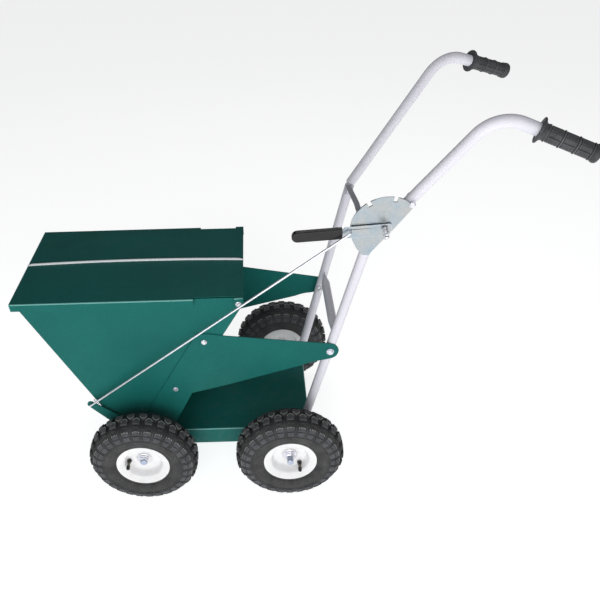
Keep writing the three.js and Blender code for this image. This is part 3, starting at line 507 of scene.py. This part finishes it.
# ---- sheet metal --------------------------------------------------------------------------------
def make_sheet_metal():
    refined("hopper_shell", GREEN, fold=2.0 * MM, sheet=1.5 * MM)
    # the lid's and deck's rounded folds carry a painted highlight
    refined("lid", GREEN, GREEN_FOLD_HIGHLIGHT, fold=2.2 * MM, sheet=1.2 * MM)
    refined("deck", GREEN, GREEN_FOLD_HIGHLIGHT, fold=2.4 * MM, sheet=2 * MM)
    refined("gate_arm", GREEN, edge=0.6 * MM)
    refined("gate", GREY)
    refined("upper_cross_brace", GREY, edge=0.7 * MM)
    refined("quadrant_plate", ZINC, edge=0.5 * MM)
    # the lever bar's softened edges carry a painted highlight
    refined("lever_bar", ZINC, LEVER_HIGHLIGHT, edge=1.3 * MM, edge_segments=4)
    refined("agitator", ZINC)
    for name, _ in SIDES:
        refined(f"side_plate_{name}", GREEN, edge=0.45 * MM)


LINE_HEIGHT = 3.5 * MM
LINE_STEPS = 48
LINE_SIDES = 8


def make_guide_line():
    """A shallow half-round strip that follows the lid's crown, tapered at its ends."""
    low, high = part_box("lid_guide_line")
    crown = high.z - low.z
    half_width = 0.78 * (high.y - low.y) / 2
    half_length = (high.x - low.x) / 2
    centre_x = (high.x + low.x) / 2
    bm = bmesh.new()
    rows = []
    for i in range(LINE_STEPS + 1):
        along = 2 * i / LINE_STEPS - 1
        taper = min(1.0, (1 - abs(along)) * half_length / (3 * MM) + 0.25)
        base = low.z - 0.2 * MM + (crown - 0.8 * MM) * (1 - along * along)
        row = []
        for j in range(LINE_SIDES + 1):
            angle = math.pi * j / LINE_SIDES
            y = half_width * math.cos(angle)
            z = base + LINE_HEIGHT * taper * math.sin(angle)
            row.append(bm.verts.new((centre_x + along * half_length, y, z)))
        rows.append(row)
    for lower, upper in zip(rows, rows[1:]):
        bridge(bm, lower, upper)
    bm.faces.new(rows[0][::-1])
    bm.faces.new(rows[-1])
    add_piece(bm, "lid_guide_line", LINE, sharp=50)


# ---- bolts and nuts -----------------------------------------------------------------------------
SMALL_BOLT = 3 * MM  # radius of the shank
LARGE_BOLT = 4 * MM
BOLT_WASHER = 0.8 * MM


def hexagon(bm, origin, axis, height, radius, phase=0.0):
    """A hexagon with a chamfered outer face."""
    chamfer = 0.14 * radius
    outline = [(0, radius), (height - chamfer, radius), (height, radius - 1.4 * chamfer)]
    turned(bm, origin, axis, outline, 6, phase=phase)


def thread(length, radius, pitch):
    """Profile of a run of thread, from 0 to length, with a chamfered tip."""
    count = max(2, int(length / pitch))
    profile = []
    for i in range(count):
        profile.append((length * i / count, radius))
        profile.append((length * (i + 0.5) / count, radius - 0.35 * pitch))
    return profile + [(length, radius), (length + 0.6 * MM, radius - 0.8 * MM)]


def make_bolt(node, axis, radius, headed=True):
    """Head, washers, nut and threaded end along an axis that points from the head to the nut."""
    centre = middle(node)
    near, far = extent_along(node, centre, axis)
    head = 1.3 * radius
    across_corners = 1.85 * radius
    nut_at = far - 1.5 * head
    shank_from = near
    bm = bmesh.new()
    if headed:
        shank_from = near + head
        under_head = centre + axis * (shank_from - BOLT_WASHER)
        hexagon(bm, under_head, -axis, head - BOLT_WASHER, across_corners, 0.2)
        turned(bm, under_head, axis, [(0, 2.15 * radius), (BOLT_WASHER, 2.25 * radius)], 28)
    turned(bm, centre + axis * shank_from, axis, [(0, radius), (nut_at - shank_from, radius)], 20)
    hexagon(bm, centre + axis * (nut_at + BOLT_WASHER), axis, head - BOLT_WASHER, across_corners, 0.35)
    turned(bm, centre + axis * nut_at, axis, [(0, 2.2 * radius), (BOLT_WASHER, 2.1 * radius)], 28)
    tip = thread(0.5 * head - 0.6 * MM, radius, 1.0 * MM)
    turned(bm, centre + axis * (nut_at + head), axis, tip, 20)
    add_piece(bm, node, BOLT_ZINC, sharp=30)


def leaning_axis():
    """Unit vector out of the quadrant plate, away from the tube."""
    return -Vector(JOINTS["shutoff_lever"]["axis"]).normalized()


def make_bolts():
    for name, side in SIDES:
        inwards = -side * Y_AXIS
        for kind in ("plate_bolt_upper", "plate_bolt_lower", "lid_hinge_bolt"):
            make_bolt(f"{kind}_{name}", inwards, SMALL_BOLT)
        make_bolt(f"handle_bolt_{name}", inwards, LARGE_BOLT)
        make_bolt(f"foot_bolt_{name}", -Z_AXIS, LARGE_BOLT)
        make_bolt(f"joint_bolt_{name}", inwards, SMALL_BOLT, headed=side > 0)
    make_bolt("quadrant_bolt", -leaning_axis(), SMALL_BOLT)


# ---- tubes --------------------------------------------------------------------------------------
TUBE_R = 11.1 * MM
TUBE_SIDES = 32
TOP_BEND_R = 68 * MM
FOOT_SHEET = 3 * MM
FOOT_REACH = 36 * MM  # how far a foot plate runs back from its tube
PLUG_R = TUBE_R - 2 * MM
PLUG_LENGTH = 33 * MM  # the reduced end of an upper tube, inside the lower one
TUBE_IN_GRIP = 12 * MM  # how far the tube stops short of the grip's outer end


def lower_tube_line(name):
    """Foot and top of a lower tube, on its middle line."""
    node = f"handle_lower_{name}"
    low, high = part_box(node)
    first = section_centre(node, Z_AXIS, low.z + 0.05)
    second = section_centre(node, Z_AXIS, high.z - 0.06)
    way = (second - first).normalized()
    foot = first + way * ((low.z - first.z) / way.z)
    top = first + way * extent_along(node, first, way)[1]
    return foot, top


def grip_line(name):
    """Inner and outer end of a grip, on its middle line."""
    low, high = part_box(f"grip_{name}")
    tube = f"handle_upper_{name}"
    first = section_centre(tube, X_AXIS, low.x + 0.02)
    second = section_centre(tube, X_AXIS, high.x - 0.03)
    way = (second - first).normalized()
    near, far = extent_along(f"grip_{name}", first, way)
    return first + way * near, first + way * far


def make_lower_tube(name):
    """A straight tube whose cut end stands flat on its foot plate."""
    node = f"handle_lower_{name}"
    low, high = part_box(node)
    foot, top = lower_tube_line(name)
    way = (top - foot).normalized()
    start = foot + way * (TUBE_R * 0.9)
    bm = bmesh.new()
    swept(bm, [start, (start + top) / 2, top], TUBE_R, TUBE_SIDES, 0.8 * MM)
    ground = low.z + 0.3 * MM
    upper = ring(bm, start + way * MM, way, TUBE_R, TUBE_SIDES)
    lower = [bm.verts.new(v.co - way * ((v.co.z - ground) / way.z)) for v in upper]
    bridge(bm, lower, upper)
    bm.faces.new(lower[::-1])
    bm.faces.new(upper)
    back = min(foot.x + FOOT_REACH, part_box("deck")[1].x - MM)
    plate_low = Vector((low.x, foot.y - TUBE_R, low.z))
    plate_high = Vector((back, foot.y + TUBE_R, low.z + FOOT_SHEET))
    box_shape(bm, plate_low, plate_high, 0.8 * MM)
    add_piece(bm, node, SILVER, sharp=40)


def make_upper_tube(name):
    """A bent tube from the joint into the grip, with a reduced end that plugs into the lower tube."""
    node = f"handle_upper_{name}"
    joint_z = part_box(f"handle_lower_{name}")[1].z
    first = section_centre(node, Z_AXIS, joint_z + 0.04)
    second = section_centre(node, Z_AXIS, joint_z + 0.19)
    inner, outer = grip_line(name)
    corner = sum(intersect_line_line(first, second, inner, outer), Vector()) / 2
    way = (second - first).normalized()
    bottom = first + way * ((joint_z + 0.5 * MM - first.z) / way.z)
    end = outer - (outer - inner).normalized() * TUBE_IN_GRIP
    bm = bmesh.new()
    swept(bm, rounded_corner(bottom, corner, end, TOP_BEND_R), TUBE_R, TUBE_SIDES, 1.2 * MM)
    foot, top = lower_tube_line(name)
    down = (foot - top).normalized()
    plug = [bottom - down * 2 * MM, top + down * 5 * MM, top + down * PLUG_LENGTH]
    swept(bm, plug, PLUG_R)
    add_piece(bm, node, SILVER, sharp=40)


BRACE_STATIONS = 26
BRACE_SIDES = 28
BRACE_FLAT = 2 * MM  # half the thickness of the pressed ends
BRACE_PRESSED = 42 * MM  # length over which an end is pressed


def make_lower_brace():
    """Round tube between the lower tubes, pressed flat at its ends."""
    low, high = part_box("lower_cross_brace")
    middle_line = section_centre("lower_cross_brace", Y_AXIS, 0.0)
    radius = section_radius("lower_cross_brace", Y_AXIS, 0.0)
    half_height = (high.z - low.z) / 2
    bm = bmesh.new()
    rings = []
    for i in range(BRACE_STATIONS + 1):
        t = 2 * i / BRACE_STATIONS - 1
        y = high.y * math.copysign(abs(t) ** 0.8, t)
        press = 1 - min(1.0, (high.y - abs(y)) / BRACE_PRESSED)
        press = press * press * (3 - 2 * press)
        half_x = radius + (BRACE_FLAT - radius) * press
        half_z = radius + (half_height - radius) * press
        z = middle_line.z + press * ((high.z + low.z) / 2 - middle_line.z)
        loop = []
        for k in range(BRACE_SIDES):
            angle = math.tau * k / BRACE_SIDES
            x = middle_line.x + half_x * math.cos(angle)
            loop.append(bm.verts.new((x, y, z + half_z * math.sin(angle))))
        rings.append(loop)
    for lower, upper in zip(rings, rings[1:]):
        bridge(bm, lower, upper)
    bm.faces.new(rings[0][::-1])
    bm.faces.new(rings[-1])
    add_piece(bm, "lower_cross_brace", SILVER, sharp=45)


# ---- grips --------------------------------------------------------------------------------------
GRIP_PANELS = 10  # moulded panels round the grip
GRIP_SEGMENTS = 3  # lengths of panels between the moulded rings
PANEL_SIDES = 8
GRIP_SIDES = PANEL_SIDES * GRIP_PANELS
GRIP_BODY = (14 * MM, 95 * MM)  # the panelled length, from the inner end
GRIP_STEP = 0.9 * MM
# smooth outline: (distance from the inner end, radius) in mm
GRIP_OUTLINE = [
    (0, 20.4), (0.6, 21.3), (1.6, 21.5), (2.8, 21.2), (3.8, 20.0), (5, 17.4), (7, 15.0), (10, 13.6),
    (14, 13.0), (94, 12.8), (97, 13.6), (100, 15.2), (102.5, 15.8), (105, 15.7), (107.4, 15.0),
    (109, 13.4), (110, 11.4),
]


def grip_radius(t):
    """Radius of the grip's smooth outline at a distance from its inner end."""
    for (t0, r0), (t1, r1) in zip(GRIP_OUTLINE, GRIP_OUTLINE[1:]):
        if t <= t1 * MM:
            return (r0 + (r1 - r0) * (t / MM - t0) / (t1 - t0)) * MM
    return GRIP_OUTLINE[-1][1] * MM


def grip_relief(t, side):
    """Height and material of the moulded rings, panels and grooves at a place on the grip."""
    start, stop = GRIP_BODY
    if t < start or t > stop:
        return 0.0, 0
    segment = (stop - start) / GRIP_SEGMENTS
    along = (t - start) % segment
    from_ring = min(along, segment - along)
    if from_ring < 1.6 * MM:
        return 1.9 * MM, 1
    step = side % PANEL_SIDES
    if step == 0 or from_ring < 3.2 * MM:
        return -0.3 * MM, 0
    if step in (1, PANEL_SIDES - 1) or from_ring < 5 * MM:
        return 0.9 * MM, 1
    return 0.6 * MM, 0


def grip_stations(length):
    """Distances from the inner end at which a grip has a ring of vertices."""
    start, stop = GRIP_BODY
    outline = [t * MM for t, _ in GRIP_OUTLINE]
    count = round((stop - start) / GRIP_STEP)
    body = [start + (stop - start) * i / count for i in range(count + 1)]
    return [t for t in outline if t < start] + body + [t for t in outline if stop < t < length]


def make_grip(name):
    """Moulded rubber grip with a hand guard at its inner end and a bead at its outer end."""
    inner, outer = grip_line(name)
    way = (outer - inner).normalized()
    first, second = across(way)
    bm = bmesh.new()
    rings = [ring(bm, inner, way, TUBE_R + 0.2 * MM, GRIP_SIDES)]
    tints = []
    for t in grip_stations((outer - inner).length):
        loop = []
        tint = []
        for i in range(GRIP_SIDES):
            angle = math.tau * i / GRIP_SIDES
            height, material = grip_relief(t, i)
            spoke = math.cos(angle) * first + math.sin(angle) * second
            loop.append(bm.verts.new(inner + way * t + (grip_radius(t) + height) * spoke))
            tint.append(material)
        rings.append(loop)
        tints.append(tint)
    bridge(bm, rings[0], rings[1])
    for lower, upper, low_tint, high_tint in zip(rings[1:], rings[2:], tints, tints[1:]):
        for i in range(GRIP_SIDES):
            j = (i + 1) % GRIP_SIDES
            face = bm.faces.new((lower[i], lower[j], upper[j], upper[i]))
            face.material_index = min(low_tint[i], low_tint[j], high_tint[i], high_tint[j])
    bm.faces.new(rings[0][::-1])
    bm.faces.new(rings[-1])
    add_piece(bm, f"grip_{name}", GRIP, GRIP_EDGE, sharp=32)


# ---- lever, stud, spring and rod ----------------------------------------------------------------
STUD_COLLAR_R = 7 * MM
STUD_COLLAR = 1.2 * MM
STUD_NUT_R = 6.5 * MM
STUD_NUT = 6 * MM
STUD_TAIL = 4 * MM  # thread past the nut
SPRING_R = 6.2 * MM
SPRING_TURNS = 7
SPRING_WIRE_R = 0.9 * MM
ROD_R = 2.5 * MM
ROD_BEND_R = 4.5 * MM
ROD_HOOK = 9.5 * MM  # how far the rod's end passes through the lever
CLIP_WIRE_R = 1.1 * MM


def make_stud():
    axis = leaning_axis()
    centre = middle("lever_pivot_stud")
    near, far = extent_along("lever_pivot_stud", centre, axis)
    nut_from = far - STUD_NUT - STUD_TAIL
    bm = bmesh.new()
    turned(bm, centre + axis * near, axis, [(0, LARGE_BOLT), (nut_from - near, LARGE_BOLT)], 24)
    turned(bm, centre + axis * near, axis, [(0, STUD_COLLAR_R), (STUD_COLLAR, STUD_COLLAR_R)], 28)
    hexagon(bm, centre + axis * nut_from, axis, STUD_NUT, STUD_NUT_R)
    tip = thread(STUD_TAIL - 0.6 * MM, LARGE_BOLT, 1.1 * MM)
    turned(bm, centre + axis * (nut_from + STUD_NUT), axis, tip, 24)
    add_piece(bm, "lever_pivot_stud", BOLT_ZINC, sharp=30)


def make_spring():
    """A wound compression spring round the stud."""
    axis = leaning_axis()
    centre = middle("lever_spring")
    near, far = extent_along("lever_spring", centre, axis)
    radius = SPRING_R - SPRING_WIRE_R
    run = (far - near) - 2 * SPRING_WIRE_R
    first, second = across(axis)
    steps = 16 * SPRING_TURNS
    points = []
    for i in range(steps + 1):
        angle = math.tau * SPRING_TURNS * i / steps
        level = centre + axis * (near + SPRING_WIRE_R + run * i / steps)
        points.append(level + radius * (math.cos(angle) * first + math.sin(angle) * second))
    bm = bmesh.new()
    swept(bm, points, SPRING_WIRE_R, 8, 0.2 * MM)
    add_piece(bm, "lever_spring", BOLT_ZINC, sharp=60)


def make_rod():
    """Straight rod whose upper end turns into the lever's eye, and the clip on its lower end."""
    low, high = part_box("control_rod")
    first = section_centre("control_rod", X_AXIS, low.x + 0.1)
    second = section_centre("control_rod", X_AXIS, high.x - 0.1)
    way = (second - first).normalized()
    start = first + way * extent_along("control_rod", first, way)[0]
    eye = Vector(JOINTS["rod_upper_pivot"]["pos_m"])
    corner = first + way * (eye - first).dot(way)
    hook = corner - leaning_axis() * ROD_HOOK
    bm = bmesh.new()
    swept(bm, rounded_corner(start, corner, hook, ROD_BEND_R, 8), ROD_R, 18, 0.8 * MM)
    add_piece(bm, "control_rod", ROD_ZINC, sharp=40)

    clip = middle("rod_clip")
    clip_way = Vector((way.z, 0, -way.x)).normalized()
    near, far = extent_along("rod_clip", clip, clip_way)
    bent_end = clip + clip_way * near + way * 5 * MM
    bm = bmesh.new()
    swept(bm, [clip + clip_way * far, clip, clip + clip_way * near, bent_end], CLIP_WIRE_R, 12, 0.3 * MM)
    add_piece(bm, "rod_clip", BOLT_ZINC, sharp=40)


# ---- wheels -------------------------------------------------------------------------------------
PITCHES = 28  # tread blocks round the tyre, in each of the two rows
TREAD_R = 134.3 * MM
BLOCK_HEIGHT = 6.6 * MM
SKIRT_HEIGHT = 2.4 * MM
PAD_HEIGHT = 1.8 * MM
RIDGE_HEIGHT = 1.2 * MM
PITCH = math.tau * TREAD_R / PITCHES
ARCH_STEPS = 12  # sides of a block's round end
CREST_SIDES = 8  # sides of a pad's crest
PAD, HIGHLIGHT_BORDER, BLOCK = 1, 2, 3  # material slots of the pads, the borders painted lighter as a highlight, and the tread blocks
# width of the painted highlight border
HIGHLIGHT_BORDER_WIDTH = 1.7 * MM
CARCASS_SEGMENTS = 6 * PITCHES
CARCASS_STEPS = 30  # rings of vertices from the middle of the crown to a bead
RIB_HEIGHT = 0.45 * MM
RIB_FROM, RIB_TO = 88 * MM, 73 * MM  # radii between which the fine ribs run
PAD_LINE_R = 96 * MM  # moulded line below the pads
BEAD_LINE_R = 71.5 * MM  # moulded line next to the rim
# tyre carcass from the middle of the crown to the bead: (distance from the centre plane, radius) in mm
CARCASS = [
    (0, 127.7), (12, 127.2), (20, 125.9), (27, 123.2), (32.6, 119), (36.8, 113), (39.6, 105),
    (40.8, 96), (40.6, 87), (38.6, 77.5), (35.4, 70.5), (33.6, 66.4),
]
# inside of the tyre, from bead to bead, in mm
CARCASS_INSIDE = [(31, 63), (27, 58), (-27, 58), (-31, 63)]


def smooth_curve(points, steps=6):
    """Catmull-Rom curve through the points."""
    curve = []
    count = len(points)
    for i in range(count - 1):
        p0 = points[max(i - 1, 0)]
        p1, p2 = points[i], points[i + 1]
        p3 = points[min(i + 2, count - 1)]
        for k in range(steps):
            t = k / steps
            curve.append((
                p1 * 2 + (p2 - p0) * t + (p0 * 2 - p1 * 5 + p2 * 4 - p3) * t * t
                + (p1 * 3 - p0 - p2 * 3 + p3) * t * t * t
            ) / 2)
    return curve + [points[-1]]


class TyreSurface:
    """Places points on a tyre by angle, distance across the tread and height over the carcass."""

    def __init__(self, centre, side):
        self.centre = centre
        self.side = side
        self.curve = smooth_curve([Vector(p) * MM for p in CARCASS])
        self.lengths = [0.0]
        for a, b in zip(self.curve, self.curve[1:]):
            self.lengths.append(self.lengths[-1] + (b - a).length)

    def profile(self, across_crown):
        """Point and outward normal of the carcass, at a distance from the crown's middle line."""
        s = min(abs(across_crown), self.lengths[-1] - 1e-6)
        i = max(k for k, length in enumerate(self.lengths[:-1]) if length <= s)
        t = (s - self.lengths[i]) / (self.lengths[i + 1] - self.lengths[i])
        along = (self.curve[i + 1] - self.curve[i]).normalized()
        point = self.curve[i].lerp(self.curve[i + 1], t)
        return point, Vector((-along.y, along.x))

    def at(self, angle, across_crown, height):
        point, normal = self.profile(across_crown)
        point = point + normal * height
        out = math.copysign(point.x, across_crown) * self.side
        spoke = Vector((math.cos(angle), 0, math.sin(angle)))
        return self.centre + Y_AXIS * out + spoke * point.y

    def where_radius(self, radius):
        """Distance across the crown at which the carcass has come down to a radius."""
        for length, point in zip(self.lengths, self.curve):
            if point.y <= radius:
                return length
        return self.lengths[-1]


def raised(bm, surface, outline, angle, height, bevel, drop, top=0, painted_highlight=0):
    """A moulded block: an outline of (sideways, across) points, in metres, raised from the carcass.

    Its top edge is bevelled, down by the drop. The first sides of its top, as many as the last argument says,
    have a border painted lighter as a highlight, where light would catch the edge.
    """
    corners = [Vector(point) for point in outline]
    middle_point = sum(corners, Vector((0, 0))) / len(corners)

    def inset(distance):
        return [corner + (middle_point - corner).normalized() * distance for corner in corners]

    core = [corner.lerp(middle_point, 0.55) for corner in corners]
    levels = (
        (corners, -0.8 * MM), (corners, height - drop), (inset(bevel), height),
        (inset(bevel + HIGHLIGHT_BORDER_WIDTH), height), (core, height),
    )
    rings = []
    for points, level in levels:
        rings.append([bm.verts.new(surface.at(angle + p.x / TREAD_R, p.y, level)) for p in points])
    centre = bm.verts.new(surface.at(angle + middle_point.x / TREAD_R, middle_point.y, height))
    bridge(bm, rings[0], rings[1])
    bridge(bm, rings[1], rings[2], top)
    bridge(bm, rings[3], rings[4], top)
    outer, border_ring, inner = rings[2:]
    for i in range(len(outline)):
        j = (i + 1) % len(outline)
        border_face = bm.faces.new((outer[i], outer[j], border_ring[j], border_ring[i]))
        border_face.material_index = HIGHLIGHT_BORDER if i < painted_highlight else top
        bm.faces.new((inner[i], inner[j], centre)).material_index = top


def tread_outline(direction):
    """Block with a round end at the crown's middle and square corners at the shoulder."""
    half = 9.4 * MM
    start, stop = -1.6 * MM, 16.5 * MM
    arch = []
    for i in range(ARCH_STEPS + 1):
        angle = math.pi * i / ARCH_STEPS
        arch.append((-half * math.cos(angle), start + half * (1 - math.sin(angle))))
    sides = [(half, 12 * MM), (0.93 * half, stop), (0, stop), (-0.93 * half, stop), (-half, 12 * MM)]
    return [(u, direction * s) for u, s in arch + sides]


def skirt_outline(direction):
    """Low step on the shoulder below each tread block."""
    half = 9.0 * MM
    start, stop = 16.8 * MM, 24 * MM
    lower_half = 0.8 * half
    corners = [
        (-half, start), (0, start), (half, start), (lower_half, stop), (0, stop), (-lower_half, stop),
    ]
    return [(u, direction * s) for u, s in corners]


def pad_outlines(surface, direction):
    """Crested pad on the sidewall, and the plain pad below it."""
    top = surface.where_radius(121.5 * MM)
    second = surface.where_radius(111.5 * MM)
    low = surface.where_radius(100 * MM)
    half = 10.4 * MM
    slot = 1.6 * MM
    crest = [
        (-half, top + 4.4 * MM), (-0.75 * half, top + 1.2 * MM), (-0.4 * half, top + 2.8 * MM),
        (-0.2 * half, top), (0, top + 2.6 * MM), (0.2 * half, top),
        (0.4 * half, top + 2.8 * MM), (0.75 * half, top + 1.2 * MM), (half, top + 4.4 * MM),
        (half, second - slot), (0, second - slot), (-half, second - slot),
    ]
    plain = [
        (-half, second), (0, second), (half, second),
        (0.92 * half, low), (0, low), (-0.92 * half, low),
    ]
    return [[(u, direction * s) for u, s in outline] for outline in (crest, plain)]


def ridge_outline(surface, direction):
    """Narrow radial ridge between two neighbouring pads."""
    top = surface.where_radius(120 * MM)
    low = surface.where_radius(99 * MM)
    left, right = PITCH / 2 - 1.3 * MM, PITCH / 2 + 1.3 * MM
    return [(u, direction * s) for u, s in ((left, top), (right, top), (right, low), (left, low))]


def carcass_rings(bm, surface):
    """The smooth carcass, with fine radial ribs low on the sidewall, closed on the inside."""
    ribs_from = surface.where_radius(RIB_FROM)
    ribs_to = surface.where_radius(RIB_TO)
    total = surface.lengths[-1]
    angles = [math.tau * i / CARCASS_SEGMENTS for i in range(CARCASS_SEGMENTS)]
    spokes = [Vector((math.cos(angle), 0, math.sin(angle))) for angle in angles]
    rings = []
    for step in range(-CARCASS_STEPS, CARCASS_STEPS + 1):
        s = total * step / CARCASS_STEPS
        ribbed = ribs_from < abs(s) < ribs_to
        heights = [RIB_HEIGHT if ribbed and i % 3 == 0 else 0.0 for i in range(CARCASS_SEGMENTS)]
        rings.append([bm.verts.new(surface.at(a, s, height)) for a, height in zip(angles, heights)])
    for out, radius in CARCASS_INSIDE:
        level = surface.centre + Y_AXIS * surface.side * out * MM
        rings.append([bm.verts.new(level + spoke * radius * MM) for spoke in spokes])
    for lower, upper in zip(rings, rings[1:] + rings[:1]):
        bridge(bm, lower, upper)


def thin_ring(bm, surface, s, width, height):
    """A raised line right round the sidewall."""
    buried = -0.3 * MM
    section = ((-width, buried), (-width / 2, height), (width / 2, height), (width, buried))
    rings = []
    for offset, level in section:
        loop = []
        for i in range(CARCASS_SEGMENTS):
            loop.append(bm.verts.new(surface.at(math.tau * i / CARCASS_SEGMENTS, s + offset, level)))
        rings.append(loop)
    for lower, upper in zip(rings, rings[1:] + rings[:1]):
        bridge(bm, lower, upper)


def moulded_pitch(bm, surface, angle, direction):
    """One tread block, the step below it, and the pads and ridge on its stretch of sidewall."""
    crest, plain = pad_outlines(surface, direction)
    block = tread_outline(direction)
    skirt = skirt_outline(direction)
    ridge = ridge_outline(surface, direction)
    # the block's round end and the pad's crest get the painted highlight border
    raised(bm, surface, block, angle, BLOCK_HEIGHT, 0.8 * MM, 0.8 * MM, top=BLOCK, painted_highlight=ARCH_STEPS)
    raised(bm, surface, skirt, angle, SKIRT_HEIGHT, 0.7 * MM, 0.6 * MM)
    raised(bm, surface, crest, angle, PAD_HEIGHT, 0.7 * MM, 0.7 * MM, top=PAD, painted_highlight=CREST_SIDES)
    raised(bm, surface, plain, angle, PAD_HEIGHT, 0.7 * MM, 0.7 * MM, top=PAD)
    raised(bm, surface, ridge, angle, RIDGE_HEIGHT, 0.3 * MM, 0.3 * MM, top=PAD)


def make_tyre(name, side):
    """Carcass with two staggered rows of tread blocks, sidewall pads and moulded lines."""
    surface = TyreSurface(middle(f"tyre_{name}"), side)
    bm = bmesh.new()
    carcass_rings(bm, surface)
    for i in range(PITCHES):
        moulded_pitch(bm, surface, math.tau * i / PITCHES, 1)
        moulded_pitch(bm, surface, math.tau * (i + 0.5) / PITCHES, -1)
    for direction in (1, -1):
        for radius in (PAD_LINE_R, BEAD_LINE_R):
            thin_ring(bm, surface, surface.where_radius(radius) * direction, 1.1 * MM, 0.9 * MM)
    add_piece(bm, f"tyre_{name}", TYRE, TYRE_PAD, TYRE_HIGHLIGHT, TYRE_BLOCK, sharp=30)


# rim profile on its outboard face and back again: (distance outboard, radius) in mm
RIM_OUTER = [
    (8, 14), (5.4, 14.2), (4.6, 15.5), (4.4, 24), (5.6, 27), (5.8, 31), (4.9, 34), (5.2, 39.5),
    (6.6, 42), (10, 43.6), (22, 45.6), (26.4, 47), (28, 49.5), (31, 57), (33.2, 62), (34, 64),
    (33.8, 65.2), (32.4, 65.4), (31.4, 63.4), (28.5, 57), (25, 51),
]
RIM_INNER = [
    (-25, 51), (-28.5, 57), (-31.4, 63.4), (-32.4, 65.4), (-33.8, 65.2), (-34, 64), (-33.2, 62),
    (-31, 57), (-28, 49.5), (-26.4, 47), (-22, 45.6), (-4, 43.8), (-2, 42), (-1.6, 39), (-1.4, 16),
    (-2.4, 14.2), (-34, 14),
]
AXLE_R = 8 * MM
DRIVE_BORE_R = 8.4 * MM  # the front left wheel is fixed on its axle
BUSH_BORE_R = 9.9 * MM  # the other wheels turn on bushes
NUT_BORE_R = 8.3 * MM
NUT_R = 11.5 * MM
WASHER_R = 17.9 * MM
WASHER = 2.6 * MM
NUT_FLANGE_R = 12.9 * MM
NUT_FLANGE = 2.0 * MM


def make_rim(name, side):
    """Pressed steel rim with a dished disc and a hub tube."""
    bore = DRIVE_BORE_R if name == "front_left" else BUSH_BORE_R
    disc = [(along * MM, radius * MM) for along, radius in RIM_OUTER + RIM_INNER]
    outline = [(8 * MM, bore)] + disc + [(-34 * MM, bore)]
    bm = bmesh.new()
    turned(bm, middle(f"tyre_{name}"), side * Y_AXIS, outline, 72, loop=True)
    add_piece(bm, f"rim_{name}", WHITE, sharp=40)


def make_axle_nut(name, side):
    """Washer, and a nut with a round flange."""
    node = f"axle_nut_{name}"
    axis = side * Y_AXIS
    near, far = extent_along(node, middle(node), axis)
    base = middle(node) + axis * near
    tall = far - near
    washer = [
        (0, NUT_BORE_R), (0, WASHER_R - 0.5 * MM), (0.5 * MM, WASHER_R), (WASHER - 0.6 * MM, WASHER_R),
        (WASHER, WASHER_R - 0.9 * MM), (WASHER, NUT_BORE_R),
    ]
    low, high = WASHER + 0.1 * MM, WASHER + NUT_FLANGE
    flange = [
        (low, NUT_FLANGE_R), (high - 0.4 * MM, NUT_FLANGE_R), (high, NUT_FLANGE_R - 1.1 * MM),
        (high, NUT_BORE_R), (low, NUT_BORE_R),
    ]
    nut = [
        (high, NUT_BORE_R), (high, NUT_R), (tall - 1.2 * MM, NUT_R), (tall, NUT_R - 1.6 * MM),
        (tall, NUT_BORE_R),
    ]
    bm = bmesh.new()
    turned(bm, base, axis, washer, 40, loop=True)
    turned(bm, base, axis, flange, 40, loop=True)
    turned(bm, base, axis, nut, 6, loop=True, phase=0.3)
    add_piece(bm, node, BOLT_ZINC, sharp=30)


def make_valve(name, side):
    """Rubber foot, bare metal neck and black cap, standing out of the wheel disc."""
    node = f"valve_stem_{name}"
    axis = side * Y_AXIS
    centre = middle(node)
    near, far = extent_along(node, centre, axis)
    foot = [(0, 6.2 * MM), (2 * MM, 6.0 * MM), (5 * MM, 4.2 * MM), (10 * MM, 3.7 * MM)]
    neck = [(10 * MM, 3.2 * MM), (19 * MM, 3.0 * MM)]
    tall = far - near
    cap = [(18 * MM, 3.8 * MM), (19 * MM, 4.6 * MM), (tall - 2 * MM, 4.4 * MM), (tall, 3.0 * MM)]
    bm = bmesh.new()
    turned(bm, centre + axis * near, axis, foot, 20)
    turned(bm, centre + axis * near, axis, neck, 16, material=1)
    turned(bm, centre + axis * near, axis, cap, 12)
    add_piece(bm, node, VALVE, BRASS, sharp=40)


def make_axle(node):
    """Round bar with chamfered, threaded ends."""
    low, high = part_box(node)
    half = (high.y - low.y) / 2
    threaded = 22 * MM
    end = [(half - threaded + along, r) for along, r in thread(threaded - 0.6 * MM, AXLE_R, 1.6 * MM)]
    profile = [(-along, r) for along, r in reversed(end)] + end
    bm = bmesh.new()
    turned(bm, middle(node), Y_AXIS, profile, 32)
    add_piece(bm, node, AXLE_ZINC, sharp=30)


def make_wheels():
    for end in ("front", "rear"):
        make_axle(f"{end}_axle")
        for name, side in SIDES:
            wheel = f"{end}_{name}"
            make_tyre(wheel, side)
            make_rim(wheel, side)
            make_axle_nut(wheel, side)
            make_valve(wheel, side)
            if wheel != "front_left":
                refined(f"wheel_bush_{wheel}", ZINC)
    refined("drive_pin", ZINC, edge=0.3 * MM)


# ---- the whole machine --------------------------------------------------------------------------
make_camera()
make_floor()
make_light()
make_sheet_metal()
make_guide_line()
make_bolts()
for handle_side, _ in SIDES:
    make_lower_tube(handle_side)
    make_upper_tube(handle_side)
    make_grip(handle_side)
make_lower_brace()
refined("lever_sleeve", SLEEVE, edge=3.2 * MM, sharp=60)
make_stud()
make_spring()
make_rod()
make_wheels()
